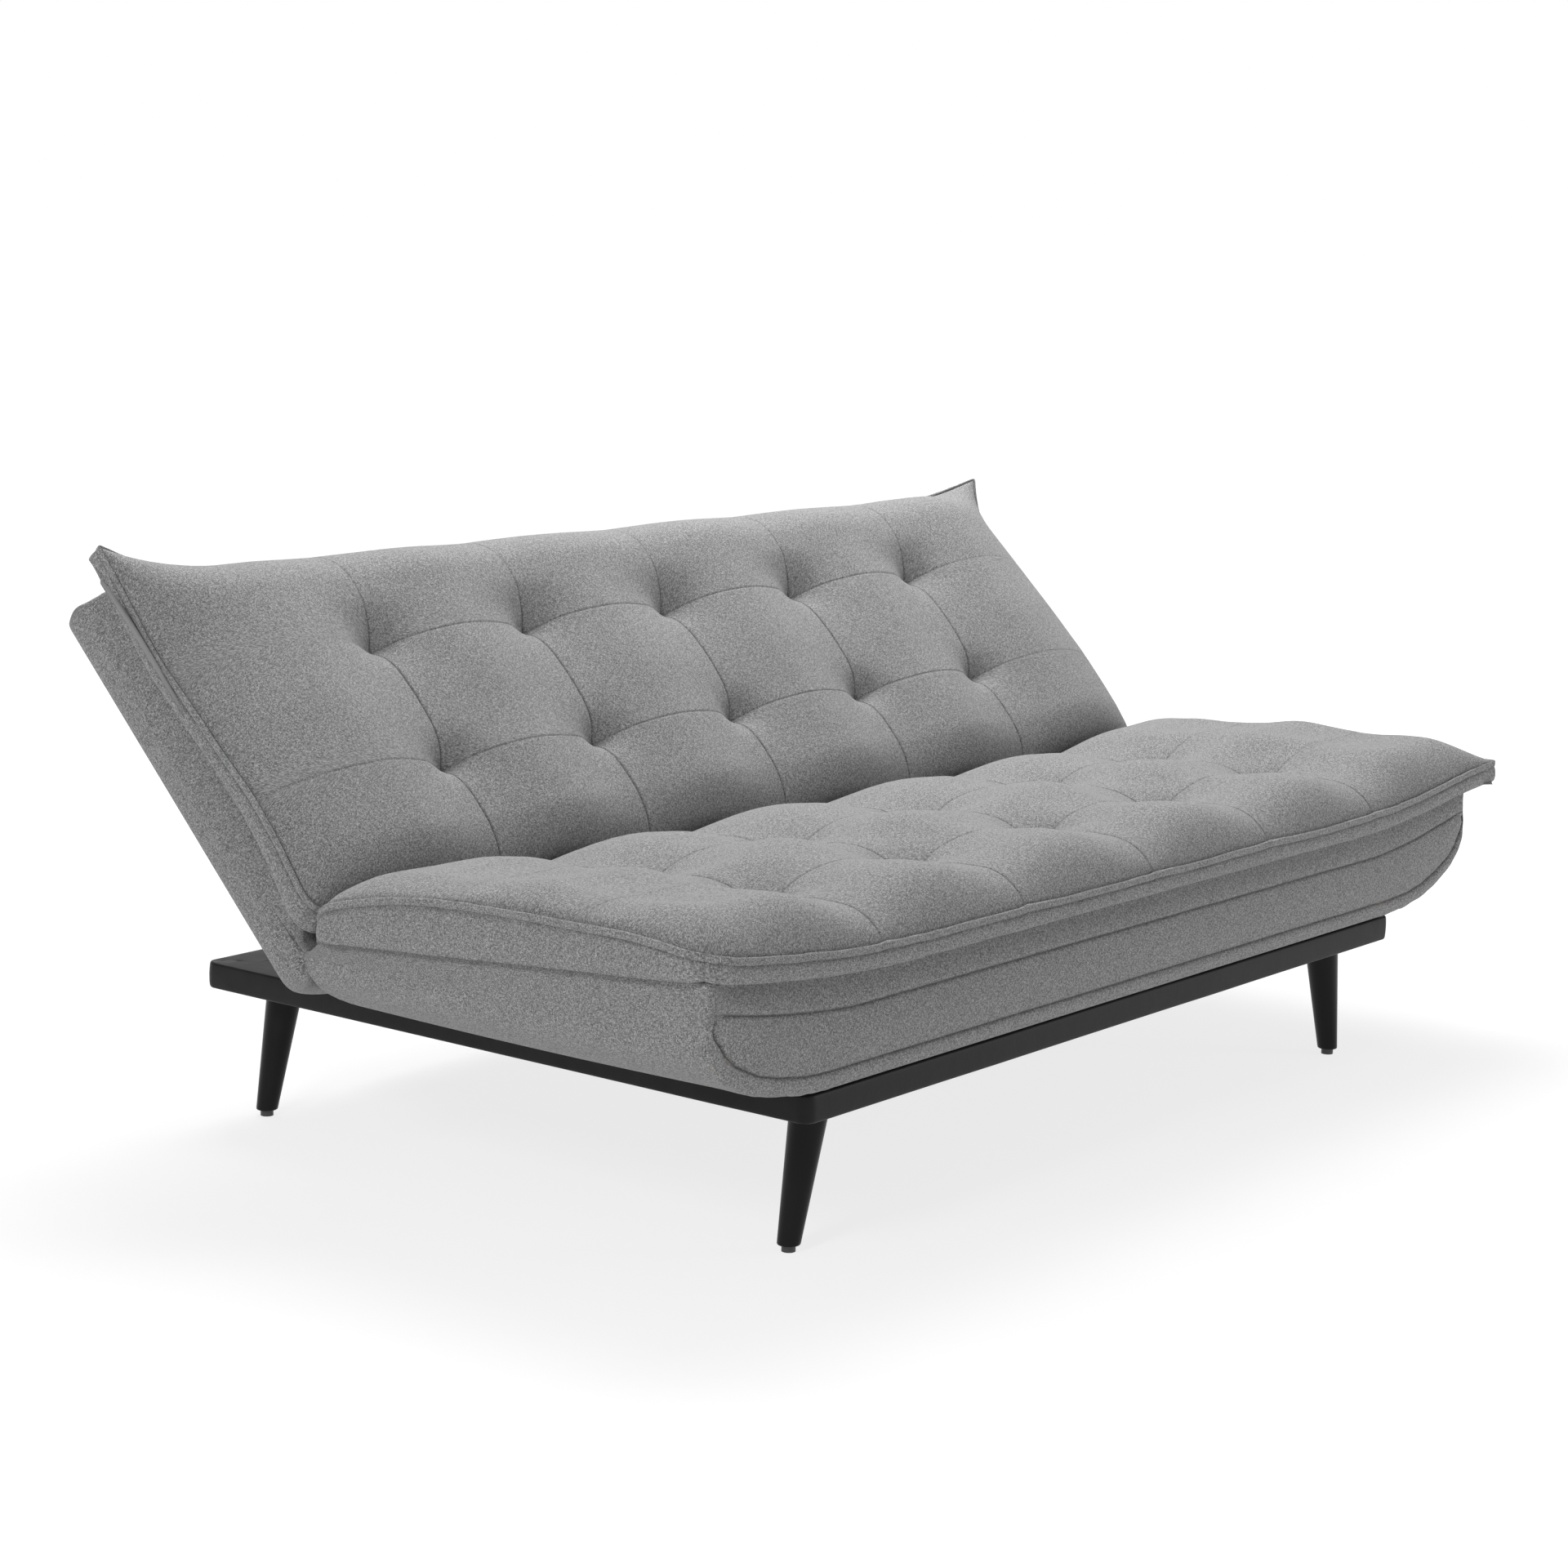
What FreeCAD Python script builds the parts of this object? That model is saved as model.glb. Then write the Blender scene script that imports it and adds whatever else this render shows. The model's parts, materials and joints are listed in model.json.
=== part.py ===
import FreeCAD, Part
import math
import os
import re
from FreeCAD import Placement, Rotation, Vector

# A three-seat futon sofa bed: a low upholstered base on four splayed legs, and a seat box and a back box,
# each with a tufted pad, that turn on one hinge line. X runs along the sofa, -Y is its front, Z is up.
# The origin is on the floor, under the middle of the whole piece. Lengths are millimetres.

DIMENSIONS = {
    # where the middle of the base stands, and the hinge line seen from it
    "base_shift": -20.85,
    "hinge_back": 157,
    "hinge_height": 302,
    "rest_recline": 46,
    # base
    "base_length": 1460,
    "base_depth": 1058,
    "base_underside": 183,
    "base_thickness": 36,
    "base_corner": 18,
    "cover_skin": 2,
    "deck_thickness": 6,
    "rail_width": 45,
    "rail_height": 24,
    "corner_block_length": 130,
    "corner_block_depth": 90,
    "side_cross_rail_width": 40,
    "side_cross_rail_margin": 14,
    "dust_leg_gap": 12,
    "dust_cover_thickness": 1.5,
    "bumper_radius": 14,
    "bumper_height": 4.7,
    "bumper_across": 500,
    "bumper_along": 400,
    # legs
    "leg_across": 637,
    "leg_along": 463,
    "leg_splay": 38,
    "leg_top_radius": 26,
    "leg_tip_radius": 15,
    "leg_tip_height": 9,
    "glide_radius": 9,
    "glide_pin_radius": 3,
    "glide_pin_length": 12,
    "hanger_radius": 4,
    "hanger_depth": 36,
    "tee_barrel_radius": 6,
    "tee_flange_radius": 11,
    "tee_flange_thickness": 2,
    "tee_barrel_inset": 6,
    # seat and back boxes, measured from the hinge line
    "box_half_length": 940,
    "box_flat_half_length": 696,
    "box_bottom": -78,
    "seat_reach": 698,
    "seat_near": 43,
    "seat_far_top": 89,
    "seat_near_top": 48,
    "seat_bilge": 23,
    "seat_heel": 60,
    "back_reach": 574,
    "back_top": 66,
    "back_bilge": 2,
    "box_edge": 22,
    "roll_radius": 40,
    "pad_clear_angle": 52,
    "box_skin": 3,
    "board_thickness": 22,
    "board_near": 46,
    "end_board_inset": 40,
    "cross_board_spread": 330,
    "strap_width": 60,
    "strap_thickness": 2,
    "strap_pitch": 170,
    "dust_half_length": 640,
    "dust_near": 112,
    "dust_margin": 60,
    # hinges
    "bracket_plane": 687,
    "plate_thickness": 5,
    "plate_gap": 1,
    "bracket_half_width": 20,
    "bracket_foot_width": 47,
    "bracket_foot_front": 38,
    "bracket_foot_rear": 60,
    "bracket_foot_thickness": 3.5,
    "eye_radius": 22,
    "pivot_radius": 8,
    "pivot_clearance": 0.05,
    "arm_reach": 230,
    "arm_top": -2,
    "arm_bottom": -22,
    "screw_radius": 3,
    "screw_head_radius": 6,
    "screw_head_thickness": 2,
    "screw_length": 22,
    "bracket_screw_extra": 5,
    "bracket_screw_shift": 7,
    "pivot_head_radius": 13,
    "pivot_head_thickness": 6,
    "slot_inner": 670,
    "slot_outer": 710,
    "slot_height": 170,
    "seat_slot_width": 13,
    "seat_slot_low": -30,
    "seat_slot_height": 60,
    "core_headroom": 30,
    # pads
    "pad_half_length": 955,
    "pad_clearance": 2,
    "pad_ear": 45,
    "pad_ear_thickness": 14,
    "pad_end_crown": 75,
    "seat_pad_reach": 712,
    "seat_pad_edge": 112,
    "seat_pad_crown": 168,
    "seat_ear_height": 126,
    "back_pad_reach": 560,
    "back_pad_edge": 112,
    "back_pad_crown": 172,
    "back_ear_height": 143,
}

SIDES = {"left": -1, "right": 1}
ARM_SCREW_REACHES = (110, 160, 210)
BRACKET_SCREW_OFFSETS = (-25, 10, 45)
STRAPS = 10

doc = FreeCAD.newDocument("futon_sofa_bed")
sheet = doc.addObject("Spreadsheet::Sheet", "Dimensions")
for row, (alias, value) in enumerate(DIMENSIONS.items(), start=1):
    sheet.set(f"A{row}", alias)
    sheet.set(f"B{row}", str(value))
    sheet.setAlias(f"B{row}", alias)
doc.recompute()

sub_parts = []


def mm(alias):
    """A dimension as a plain number."""
    return float(sheet.get(alias))


def formula(text):
    """Turn the dimension names in an expression into references to the sheet."""
    return re.sub(r"[a-z_]+", lambda word: "Dimensions." + word.group(), str(text))


def bind(thing, **formulas):
    """Bind properties to the sheet. A double underscore in a name stands for a dot."""
    for name, text in formulas.items():
        thing.setExpression(name.replace("__", "."), formula(text))


def block(name, x, y, z):
    """A box from a (start, size) pair of formulas on each axis."""
    box = doc.addObject("Part::Box", name)
    bind(box, Length=x[1], Width=y[1], Height=z[1])
    bind(box, Placement__Base__x=x[0], Placement__Base__y=y[0], Placement__Base__z=z[0])
    return box


def rounded_block(name, x, y, z, radius):
    """A box with its four upright edges rounded."""
    rounded = doc.addObject("Part::Fillet", name)
    rounded.Base = block(f"{name}_square", x, y, z)
    upright_edges = (1, 3, 5, 7)
    rounded.Edges = [(edge, radius, radius) for edge in upright_edges]
    return rounded


def rod(name, axis, radius, length, x=0, y=0, z=0):
    """A cylinder along X or Z that starts at x, y, z."""
    cylinder = doc.addObject("Part::Cylinder", name)
    turn = {"X": Rotation(Vector(0, 1, 0), 90), "Z": Rotation()}[axis]
    cylinder.Placement = Placement(Vector(), turn)
    bind(cylinder, Radius=radius, Height=length)
    bind(cylinder, Placement__Base__x=x, Placement__Base__y=y, Placement__Base__z=z)
    return cylinder


def group(name, members):
    """Separate solids kept together."""
    compound = doc.addObject("Part::Compound", name)
    compound.Links = members
    return compound


def fuse(name, members):
    """Touching solids made into one."""
    fusion = doc.addObject("Part::MultiFuse", name)
    fusion.Shapes = members
    fusion.Refine = True
    return fusion


def cut(name, base, tool):
    """The base without the tool."""
    result = doc.addObject("Part::Cut", name)
    result.Base = base
    result.Tool = tool
    return result


def common(name, first, second):
    """What two solids share."""
    result = doc.addObject("Part::Common", name)
    result.Base = first
    result.Tool = second
    return result


def feature(name, shape):
    """A solid made with Part's own functions, for the soft and curved pieces."""
    thing = doc.addObject("Part::Feature", name)
    thing.Shape = shape
    return thing


def sub_part(thing, label, frame):
    """Name a finished piece and stand it in the base's, the seat's or the back's frame."""
    if thing.TypeId == "Part::Box":
        thing = group(f"{thing.Name}_in_place", [thing])
    thing.Label = label
    bind(thing, Placement__Base__y="base_shift" if frame == "base" else "base_shift + hinge_back")
    if frame != "base":
        bind(thing, Placement__Base__z="hinge_height")
    if frame == "back":
        thing.Placement = Placement(thing.Placement.Base, Rotation(Vector(1, 0, 0), mm("rest_recline")))
        bind(thing, Placement__Rotation__Angle="rest_recline")
    sub_parts.append(thing)


def along(frame, near, far):
    """The (start, size) pair along Y for a span counted away from the hinge line."""
    start = f"-({far})" if frame == "seat" else f"{near}"
    return start, f"({far}) - ({near})"


def outward(side, inner, width):
    """The (start, size) pair along X for a span counted out from the middle of the sofa."""
    start = f"{inner}" if side > 0 else f"-({inner}) - ({width})"
    return start, width


# ---------------------------------------------------------------- base

def make_base_inside():
    """The space inside the base's cover, which also shapes the corners of the rails and the deck."""
    inner_length = "base_length - 2 * cover_skin"
    inner_depth = "base_depth - 2 * cover_skin"
    return rounded_block("base_inside", (f"-({inner_length}) / 2", inner_length),
                         (f"-({inner_depth}) / 2", inner_depth),
                         ("base_underside", "base_thickness - cover_skin"),
                         mm("base_corner") - mm("cover_skin"))


def make_base_frame(inside):
    inner_length = "base_length - 2 * cover_skin"
    inner_depth = "base_depth - 2 * cover_skin"
    rail_bottom = "base_underside + base_thickness - cover_skin - deck_thickness - rail_height"
    for name, sign in (("front", -1), ("rear", 1)):
        start = f"{sign} * ({inner_depth}) / 2 - {max(sign, 0)} * rail_width"
        rail = block(f"{name}_rail", (f"-({inner_length}) / 2", inner_length), (start, "rail_width"),
                     (rail_bottom, "rail_height"))
        sub_part(common(f"{name}_rail_shaped", rail, inside), f"base_{name}_rail", "base")
    between = f"{inner_depth} - 2 * rail_width"
    for name, sign in SIDES.items():
        start = f"{sign} * ({inner_length}) / 2 - {max(sign, 0)} * rail_width"
        rail = block(f"{name}_rail", (start, "rail_width"), (f"-({between}) / 2", between),
                     (rail_bottom, "rail_height"))
        sub_part(rail, f"base_{name}_rail", "base")


def make_base_cross_rails(screws):
    depth = "base_depth - 2 * cover_skin - 2 * rail_width"
    inner_depth = f"{depth} - 2 * corner_block_depth"
    rail_bottom = "base_underside + base_thickness - cover_skin - deck_thickness - rail_height"
    rails = [block("middle_cross_rail", ("-rail_width / 2", "rail_width"), (f"-({depth}) / 2", depth),
                   (rail_bottom, "rail_height"))]
    side_start = "bracket_plane - bracket_foot_width - side_cross_rail_margin"
    for name, side in SIDES.items():
        rails.append(block(f"{name}_cross_rail", outward(side, side_start, "side_cross_rail_width"),
                           (f"-({inner_depth}) / 2", inner_depth), (rail_bottom, "rail_height")))
    sub_part(cut("cross_rails", group("cross_rail_blanks", rails), screws), "base_cross_rails", "base")


def make_base_shell(inside, screws):
    top = "base_underside + base_thickness"
    full_length = ("-base_length / 2", "base_length")
    full_depth = ("-base_depth / 2", "base_depth")
    outer = rounded_block("cover_blank", full_length, full_depth, ("base_underside", "base_thickness"),
                          mm("base_corner"))
    open_cover = cut("cover_open", outer, inside)
    sub_part(cut("cover", open_cover, screws), "base_cover", "base")

    deck = block("deck_blank", full_length, full_depth,
                 (f"{top} - cover_skin - deck_thickness", "deck_thickness"))
    sub_part(cut("deck", common("deck_shaped", deck, inside), screws), "base_deck_board", "base")

    dust_length = "2 * (leg_across - leg_top_radius - dust_leg_gap)"
    dust_depth = "2 * (leg_along - leg_top_radius - dust_leg_gap)"
    dust = block("dust", (f"-({dust_length}) / 2", dust_length), (f"-({dust_depth}) / 2", dust_depth),
                 (f"{top} - cover_skin - deck_thickness - rail_height - dust_cover_thickness",
                  "dust_cover_thickness"))
    sub_part(dust, "base_dust_cover", "base")


def make_bumpers():
    places = [(-1, -1), (1, -1), (-1, 0), (1, 0), (-1, 1), (1, 1)]
    bumpers = [rod(f"bumper_{index}", "Z", "bumper_radius", "bumper_height", f"{x} * bumper_across",
                   f"{y} * bumper_along", "base_underside + base_thickness")
               for index, (x, y) in enumerate(places)]
    sub_part(group("bumpers", bumpers), "base_bumpers", "base")


def leg_circle(name, radius, x, y, z):
    circle = doc.addObject("Part::Circle", name)
    bind(circle, Radius=radius, Placement__Base__x=x, Placement__Base__y=y, Placement__Base__z=z)
    return circle


def make_legs():
    leg_top = "base_underside + base_thickness - cover_skin - deck_thickness - rail_height"
    block_top = f"{leg_top} + rail_height"
    bolts, barrels, blocks = [], [], []
    for front_name, front in (("front", -1), ("rear", 1)):
        for side_name, side in SIDES.items():
            corner = f"{front_name}_{side_name}"
            top_x = f"{side} * leg_across"
            tip_x = f"{side} * (leg_across + leg_splay)"
            y = f"{front} * leg_along"
            loft = doc.addObject("Part::Loft", f"leg_body_{corner}")
            loft.Sections = [leg_circle(f"leg_top_{corner}", "leg_top_radius", top_x, y, leg_top),
                             leg_circle(f"leg_tip_{corner}", "leg_tip_radius", tip_x, y, "leg_tip_height")]
            loft.Solid = True
            bore = rod(f"leg_bore_{corner}", "Z", "hanger_radius", "hanger_depth", top_x, y,
                       f"{leg_top} - hanger_depth")
            pin_bore = rod(f"pin_bore_{corner}", "Z", "glide_pin_radius", "glide_pin_length", tip_x, y,
                           "leg_tip_height")
            leg = cut(f"leg_{corner}_cut", loft, group(f"leg_bores_{corner}", [bore, pin_bore]))
            sub_part(leg, f"leg_{corner}", "base")

            foot = rod(f"glide_foot_{corner}", "Z", "glide_radius", "leg_tip_height", tip_x, y)
            pin = rod(f"glide_pin_{corner}", "Z", "glide_pin_radius", "leg_tip_height + glide_pin_length",
                      tip_x, y)
            sub_part(fuse(f"glide_{corner}_fused", [foot, pin]), f"glide_{corner}", "base")

            bolts.append(rod(f"hanger_{corner}", "Z", "hanger_radius", "hanger_depth + rail_height - 1",
                             top_x, y, f"{leg_top} - hanger_depth"))
            barrel = rod(f"barrel_{corner}", "Z", "tee_barrel_radius", "rail_height - tee_barrel_inset", top_x, y,
                         f"{leg_top} + tee_barrel_inset")
            flange = rod(f"flange_{corner}", "Z", "tee_flange_radius", "tee_flange_thickness", top_x, y,
                         f"{block_top} - tee_flange_thickness")
            barrels.append(fuse(f"tee_{corner}", [barrel, flange]))
            inner_length = "base_length / 2 - cover_skin - rail_width - corner_block_length"
            blocks.append(block(f"block_{corner}", outward(side, inner_length, "corner_block_length"),
                                outward(front, "base_depth / 2 - cover_skin - rail_width - corner_block_depth",
                                        "corner_block_depth"),
                                (leg_top, "rail_height")))
    tee_blanks = group("tee_blanks", barrels)
    bolt_group = group("bolts", bolts)
    block_bores = group("block_bores", [fuse("block_bore_fused", barrels + bolts)])
    sub_part(cut("corner_blocks_cut", group("block_blanks", blocks), block_bores), "base_corner_blocks", "base")
    sub_part(cut("tee_nuts_cut", tee_blanks, bolt_group), "leg_tee_nuts", "base")
    sub_part(group("bolt_set", bolts), "leg_hanger_bolts", "base")


# ---------------------------------------------------------------- hinges

def bracket_screw_solids():
    """Shanks and flush heads of the screws that hold the two hinge brackets to the base."""
    top = "base_underside + base_thickness + bracket_foot_thickness"
    screws = []
    for name, side in SIDES.items():
        for index, offset in enumerate(BRACKET_SCREW_OFFSETS):
            x = f"{side} * (bracket_plane - bracket_foot_width / 2 - bracket_screw_shift)"
            y = f"hinge_back + {offset}"
            shank = rod(f"bracket_shank_{name}_{index}", "Z", "screw_radius", "screw_length + bracket_screw_extra",
                        x, y, f"{top} - screw_length - bracket_screw_extra")
            head = rod(f"bracket_head_{name}_{index}", "Z", "screw_head_radius", "screw_head_thickness", x, y,
                       f"{top} - screw_head_thickness")
            screws.append(fuse(f"bracket_screw_{name}_{index}", [shank, head]))
    return group("bracket_screw_set", screws)


def make_brackets(screws):
    top = "base_underside + base_thickness"
    for name, side in SIDES.items():
        plane = outward(side, "bracket_plane", "plate_thickness")
        upright = block(f"upright_{name}", plane, ("hinge_back - bracket_half_width", "2 * bracket_half_width"),
                        (top, "hinge_height - base_underside - base_thickness"))
        eye = rod(f"bracket_eye_{name}", "X", "eye_radius", "plate_thickness", plane[0], "hinge_back",
                  "hinge_height")
        foot = block(f"foot_{name}",
                     outward(side, "bracket_plane - bracket_foot_width", "bracket_foot_width + plate_thickness"),
                     ("hinge_back - bracket_foot_front", "bracket_foot_front + bracket_foot_rear"),
                     (top, "bracket_foot_thickness"))
        blank = fuse(f"bracket_blank_{name}", [upright, eye, foot])
        bore = rod(f"bracket_bore_{name}", "X", "pivot_radius", "plate_thickness", plane[0], "hinge_back",
                   "hinge_height")
        drilled = cut(f"bracket_drilled_{name}", blank, bore)
        sub_part(cut(f"bracket_{name}", drilled, screws), f"base_bracket_{name}", "base")


def make_pivots():
    bolts, nuts = [], []
    inner = "bracket_plane - 2 * plate_gap - plate_thickness"
    span = "3 * plate_thickness + 4 * plate_gap + 0.5"
    for name, side in SIDES.items():
        shank = outward(side, inner, span)
        bolt = rod(f"pivot_shank_{name}", "X", "pivot_radius", span, shank[0], "hinge_back", "hinge_height")
        head_span = outward(side, f"{inner} + {span}", "pivot_head_thickness")
        head = rod(f"pivot_head_{name}", "X", "pivot_head_radius", "pivot_head_thickness", head_span[0],
                   "hinge_back", "hinge_height")
        bolts.append(fuse(f"pivot_{name}", [bolt, head]))
        nut_span = outward(side, f"{inner} - pivot_head_thickness", "pivot_head_thickness")
        nuts.append(rod(f"pivot_nut_{name}", "X", "pivot_head_radius - 1", "pivot_head_thickness", nut_span[0],
                        "hinge_back", "hinge_height"))
    sub_part(group("pivot_bolt_set", bolts), "pivot_bolts", "base")
    sub_part(group("pivot_nut_set", nuts), "pivot_nuts", "base")


def arm_plane(frame, side):
    """Where the seat's or the back's hinge arm lies along X, as a (start, size) pair."""
    if frame == "seat":
        return outward(side, "bracket_plane - plate_gap - plate_thickness", "plate_thickness")
    return outward(side, "bracket_plane + plate_gap + plate_thickness", "plate_thickness")


def arm_screw_solids(frame):
    screws = []
    for name, side in SIDES.items():
        plane = arm_plane(frame, side)
        inward = side if frame == "back" else -side
        for index, reach in enumerate(ARM_SCREW_REACHES):
            y = reach if frame == "back" else -reach
            z = "(arm_top + arm_bottom) / 2"
            if inward > 0:
                shank_start = plane[0]
                head_start = f"{plane[0]} - screw_head_thickness"
            else:
                shank_start = f"{plane[0]} + plate_thickness - screw_length"
                head_start = f"{plane[0]} + plate_thickness"
            shank = rod(f"{frame}_shank_{name}_{index}", "X", "screw_radius", "screw_length", shank_start, y, z)
            head = rod(f"{frame}_head_{name}_{index}", "X", "screw_head_radius", "screw_head_thickness",
                       head_start, y, z)
            screws.append(fuse(f"{frame}_screw_{name}_{index}", [shank, head]))
    return group(f"{frame}_screw_set", screws)


def make_arms(frame, screws):
    for name, side in SIDES.items():
        plane = arm_plane(frame, side)
        eye = rod(f"{frame}_eye_{name}", "X", "eye_radius", "plate_thickness", plane[0])
        bar = block(f"{frame}_bar_{name}", plane, along(frame, "0", "arm_reach"),
                    ("arm_bottom", "arm_top - arm_bottom"))
        blank = fuse(f"{frame}_arm_blank_{name}", [eye, bar])
        bore = rod(f"{frame}_arm_bore_{name}", "X", "pivot_radius + pivot_clearance", "plate_thickness", plane[0])
        drilled = cut(f"{frame}_arm_drilled_{name}", blank, bore)
        sub_part(cut(f"{frame}_arm_{name}_cut", drilled, screws), f"{frame}_arm_{name}", frame)


# ---------------------------------------------------------------- seat and back boxes

def boat_prism(half_length, flat_half_length, bottom, bilge, top, start, depth):
    """The section seen from the front: flat bottom, elliptical bilges, upright ends. Runs along Y.

    The bilges are wider than they are high, as an ellipse's major radius comes first.
    """
    width = half_length - flat_half_length
    height = bilge - bottom
    edges = []
    ends = ((1, 1.5 * math.pi, 2 * math.pi), (-1, math.pi, 1.5 * math.pi))
    for side, first, last in ends:
        centre = Vector(side * flat_half_length, bilge, 0)
        edges.append(Part.ArcOfEllipse(Part.Ellipse(centre, width, height), first, last).toShape())
    corners = [(half_length, bilge), (half_length, top), (-half_length, top), (-half_length, bilge)]
    points = [Vector(x, y, 0) for x, y in corners]
    edges += [Part.makeLine(a, b) for a, b in zip(points, points[1:])]
    edges.append(Part.makeLine(Vector(-flat_half_length, bottom, 0), Vector(flat_half_length, bottom, 0)))
    face = Part.Face(Part.Wire(Part.__sortEdges__(edges)))
    face.rotate(Vector(), Vector(1, 0, 0), 90)
    face.translate(Vector(0, start, 0))
    return face.extrude(Vector(0, depth, 0))


def side_prism(edges, half_length):
    """A closed outline in Y and Z, run along X past both ends."""
    face = Part.Face(Part.Wire(Part.__sortEdges__(edges)))
    face.translate(Vector(-half_length - 10, 0, 0))
    return face.extrude(Vector(2 * half_length + 20, 0, 0))


def line(a, b):
    return Part.makeLine(Vector(0, *a), Vector(0, *b))


def arc(a, middle, b):
    return Part.Arc(Vector(0, *a), Vector(0, *middle), Vector(0, *b)).toShape()


def corner_arc(centre, radius_y, radius_z, first, last):
    """A quarter of a circle or of an upright ellipse, between two angles given in degrees."""
    def at(angle):
        turn = math.radians(angle)
        return centre[0] + radius_y * math.cos(turn), centre[1] + radius_z * math.sin(turn)
    if radius_y == radius_z:
        return arc(at(first), at((first + last) / 2), at(last))
    ellipse = Part.Ellipse(Vector(0, *at(-90)), Vector(0, *at(0)), Vector(0, *centre))
    return Part.ArcOfEllipse(ellipse, math.radians(last + 90), math.radians(first + 90)).toShape()


def seat_outline(skin, lift):
    """The seat box from the side, drawn inward by the skin, its sloping top raised by the lift."""
    front = -mm("seat_reach") + skin
    rear = -mm("seat_near") - skin
    bottom = mm("box_bottom") + skin
    edge = mm("box_edge") - skin
    heel = mm("seat_heel") - skin
    top_front = mm("seat_far_top") + lift
    top_rear = mm("seat_near_top") + lift
    return [
        line((front, bottom + edge), (front, top_front)),
        line((front, top_front), (rear, top_rear)),
        line((rear, top_rear), (rear, bottom + heel)),
        corner_arc((rear - heel, bottom + heel), heel, heel, 0, -90),
        line((rear - heel, bottom), (front + edge, bottom)),
        corner_arc((front + edge, bottom + edge), edge, edge, 270, 180),
    ]


def back_outline(skin, lift):
    """The back box from the side: a rolled lower end round the hinge line, and a square top end."""
    roll = mm("roll_radius") - skin
    far = mm("back_reach") - skin
    bottom = mm("box_bottom") + skin
    top = mm("back_top") + lift
    edge = mm("box_edge") - skin
    turn = math.radians(mm("pad_clear_angle") - skin)
    shoulder = (roll * math.cos(turn), roll * math.sin(turn))
    brow = (top / math.tan(turn), top)
    return [
        corner_arc((0, 0), roll, -bottom, 270, 180),
        arc((-roll, 0), (-roll * math.cos(turn), roll * math.sin(turn)), shoulder),
        line(shoulder, brow),
        line(brow, (far, top)),
        line((far, top), (far, bottom + edge)),
        corner_arc((far - edge, bottom + edge), edge, edge, 0, -90),
        line((far - edge, bottom), (0, bottom)),
    ]


def box_solid(frame, skin, lift):
    """The whole box of the seat or the back, drawn inward by the skin."""
    half_length = mm("box_half_length") - skin
    outline = seat_outline(skin, lift) if frame == "seat" else back_outline(skin, lift)
    depth = 2 * mm("seat_reach")
    boat = boat_prism(half_length, mm("box_flat_half_length"), mm("box_bottom") + skin, mm(f"{frame}_bilge"),
                      mm("seat_far_top") + lift + 1, -depth, 2 * depth)
    return side_prism(outline, half_length).common(boat)


def make_box_boards(frame, core, arm_notches, screws):
    """Rails, end boards and cross boards, all shaped by the inside of the cover."""
    reach = f"{frame}_reach - box_skin"
    full = ("-box_half_length", "2 * box_half_length")
    upright = ("box_bottom", "-box_bottom")
    names = {"seat": ("front_rail", "rear_rail"), "back": ("top_rail", "bottom_rail")}[frame]
    far = block(f"{frame}_far_blank", full, along(frame, f"{reach} - board_thickness", reach), upright)
    sub_part(common(f"{frame}_far_rail", far, core), f"{frame}_{names[0]}", frame)
    near = block(f"{frame}_near_blank", full, along(frame, "board_near", "board_near + board_thickness"), upright)
    near_shaped = common(f"{frame}_near_shaped", near, core)
    sub_part(cut(f"{frame}_near_rail", near_shaped, arm_notches), f"{frame}_{names[1]}", frame)

    span = along(frame, "board_near + board_thickness", f"{reach} - board_thickness")
    for name, side in SIDES.items():
        blank = block(f"{frame}_end_blank_{name}",
                      outward(side, "box_half_length - end_board_inset", "board_thickness"), span, upright)
        sub_part(common(f"{frame}_end_{name}", blank, core), f"{frame}_{name}_end_board", frame)

    places = {"middle": ("-board_thickness / 2", "board_thickness")}
    for name, side in SIDES.items():
        places[f"{name}_inner"] = outward(side, "cross_board_spread - board_thickness / 2", "board_thickness")
        hinge_side = "bracket_plane - plate_gap - plate_thickness - board_thickness"
        if frame == "back":
            hinge_side = "bracket_plane + plate_gap + 2 * plate_thickness"
        places[f"{name}_hinge"] = outward(side, hinge_side, "board_thickness")
    boards = [common(f"{frame}_cross_{name}", block(f"{frame}_cross_blank_{name}", x, span, upright), core)
              for name, x in places.items()]
    sub_part(cut(f"{frame}_cross_boards", group(f"{frame}_cross_group", boards), screws),
             f"{frame}_cross_rails", frame)


def make_webbing(frame):
    span = along(frame, "board_near", f"{frame}_reach - box_skin")
    straps = [block(f"{frame}_strap_{index}",
                    (f"{index - (STRAPS - 1) / 2} * strap_pitch - strap_width / 2", "strap_width"), span,
                    ("0", "strap_thickness"))
              for index in range(STRAPS)]
    sub_part(group(f"{frame}_straps", straps), f"{frame}_webbing", frame)


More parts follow.
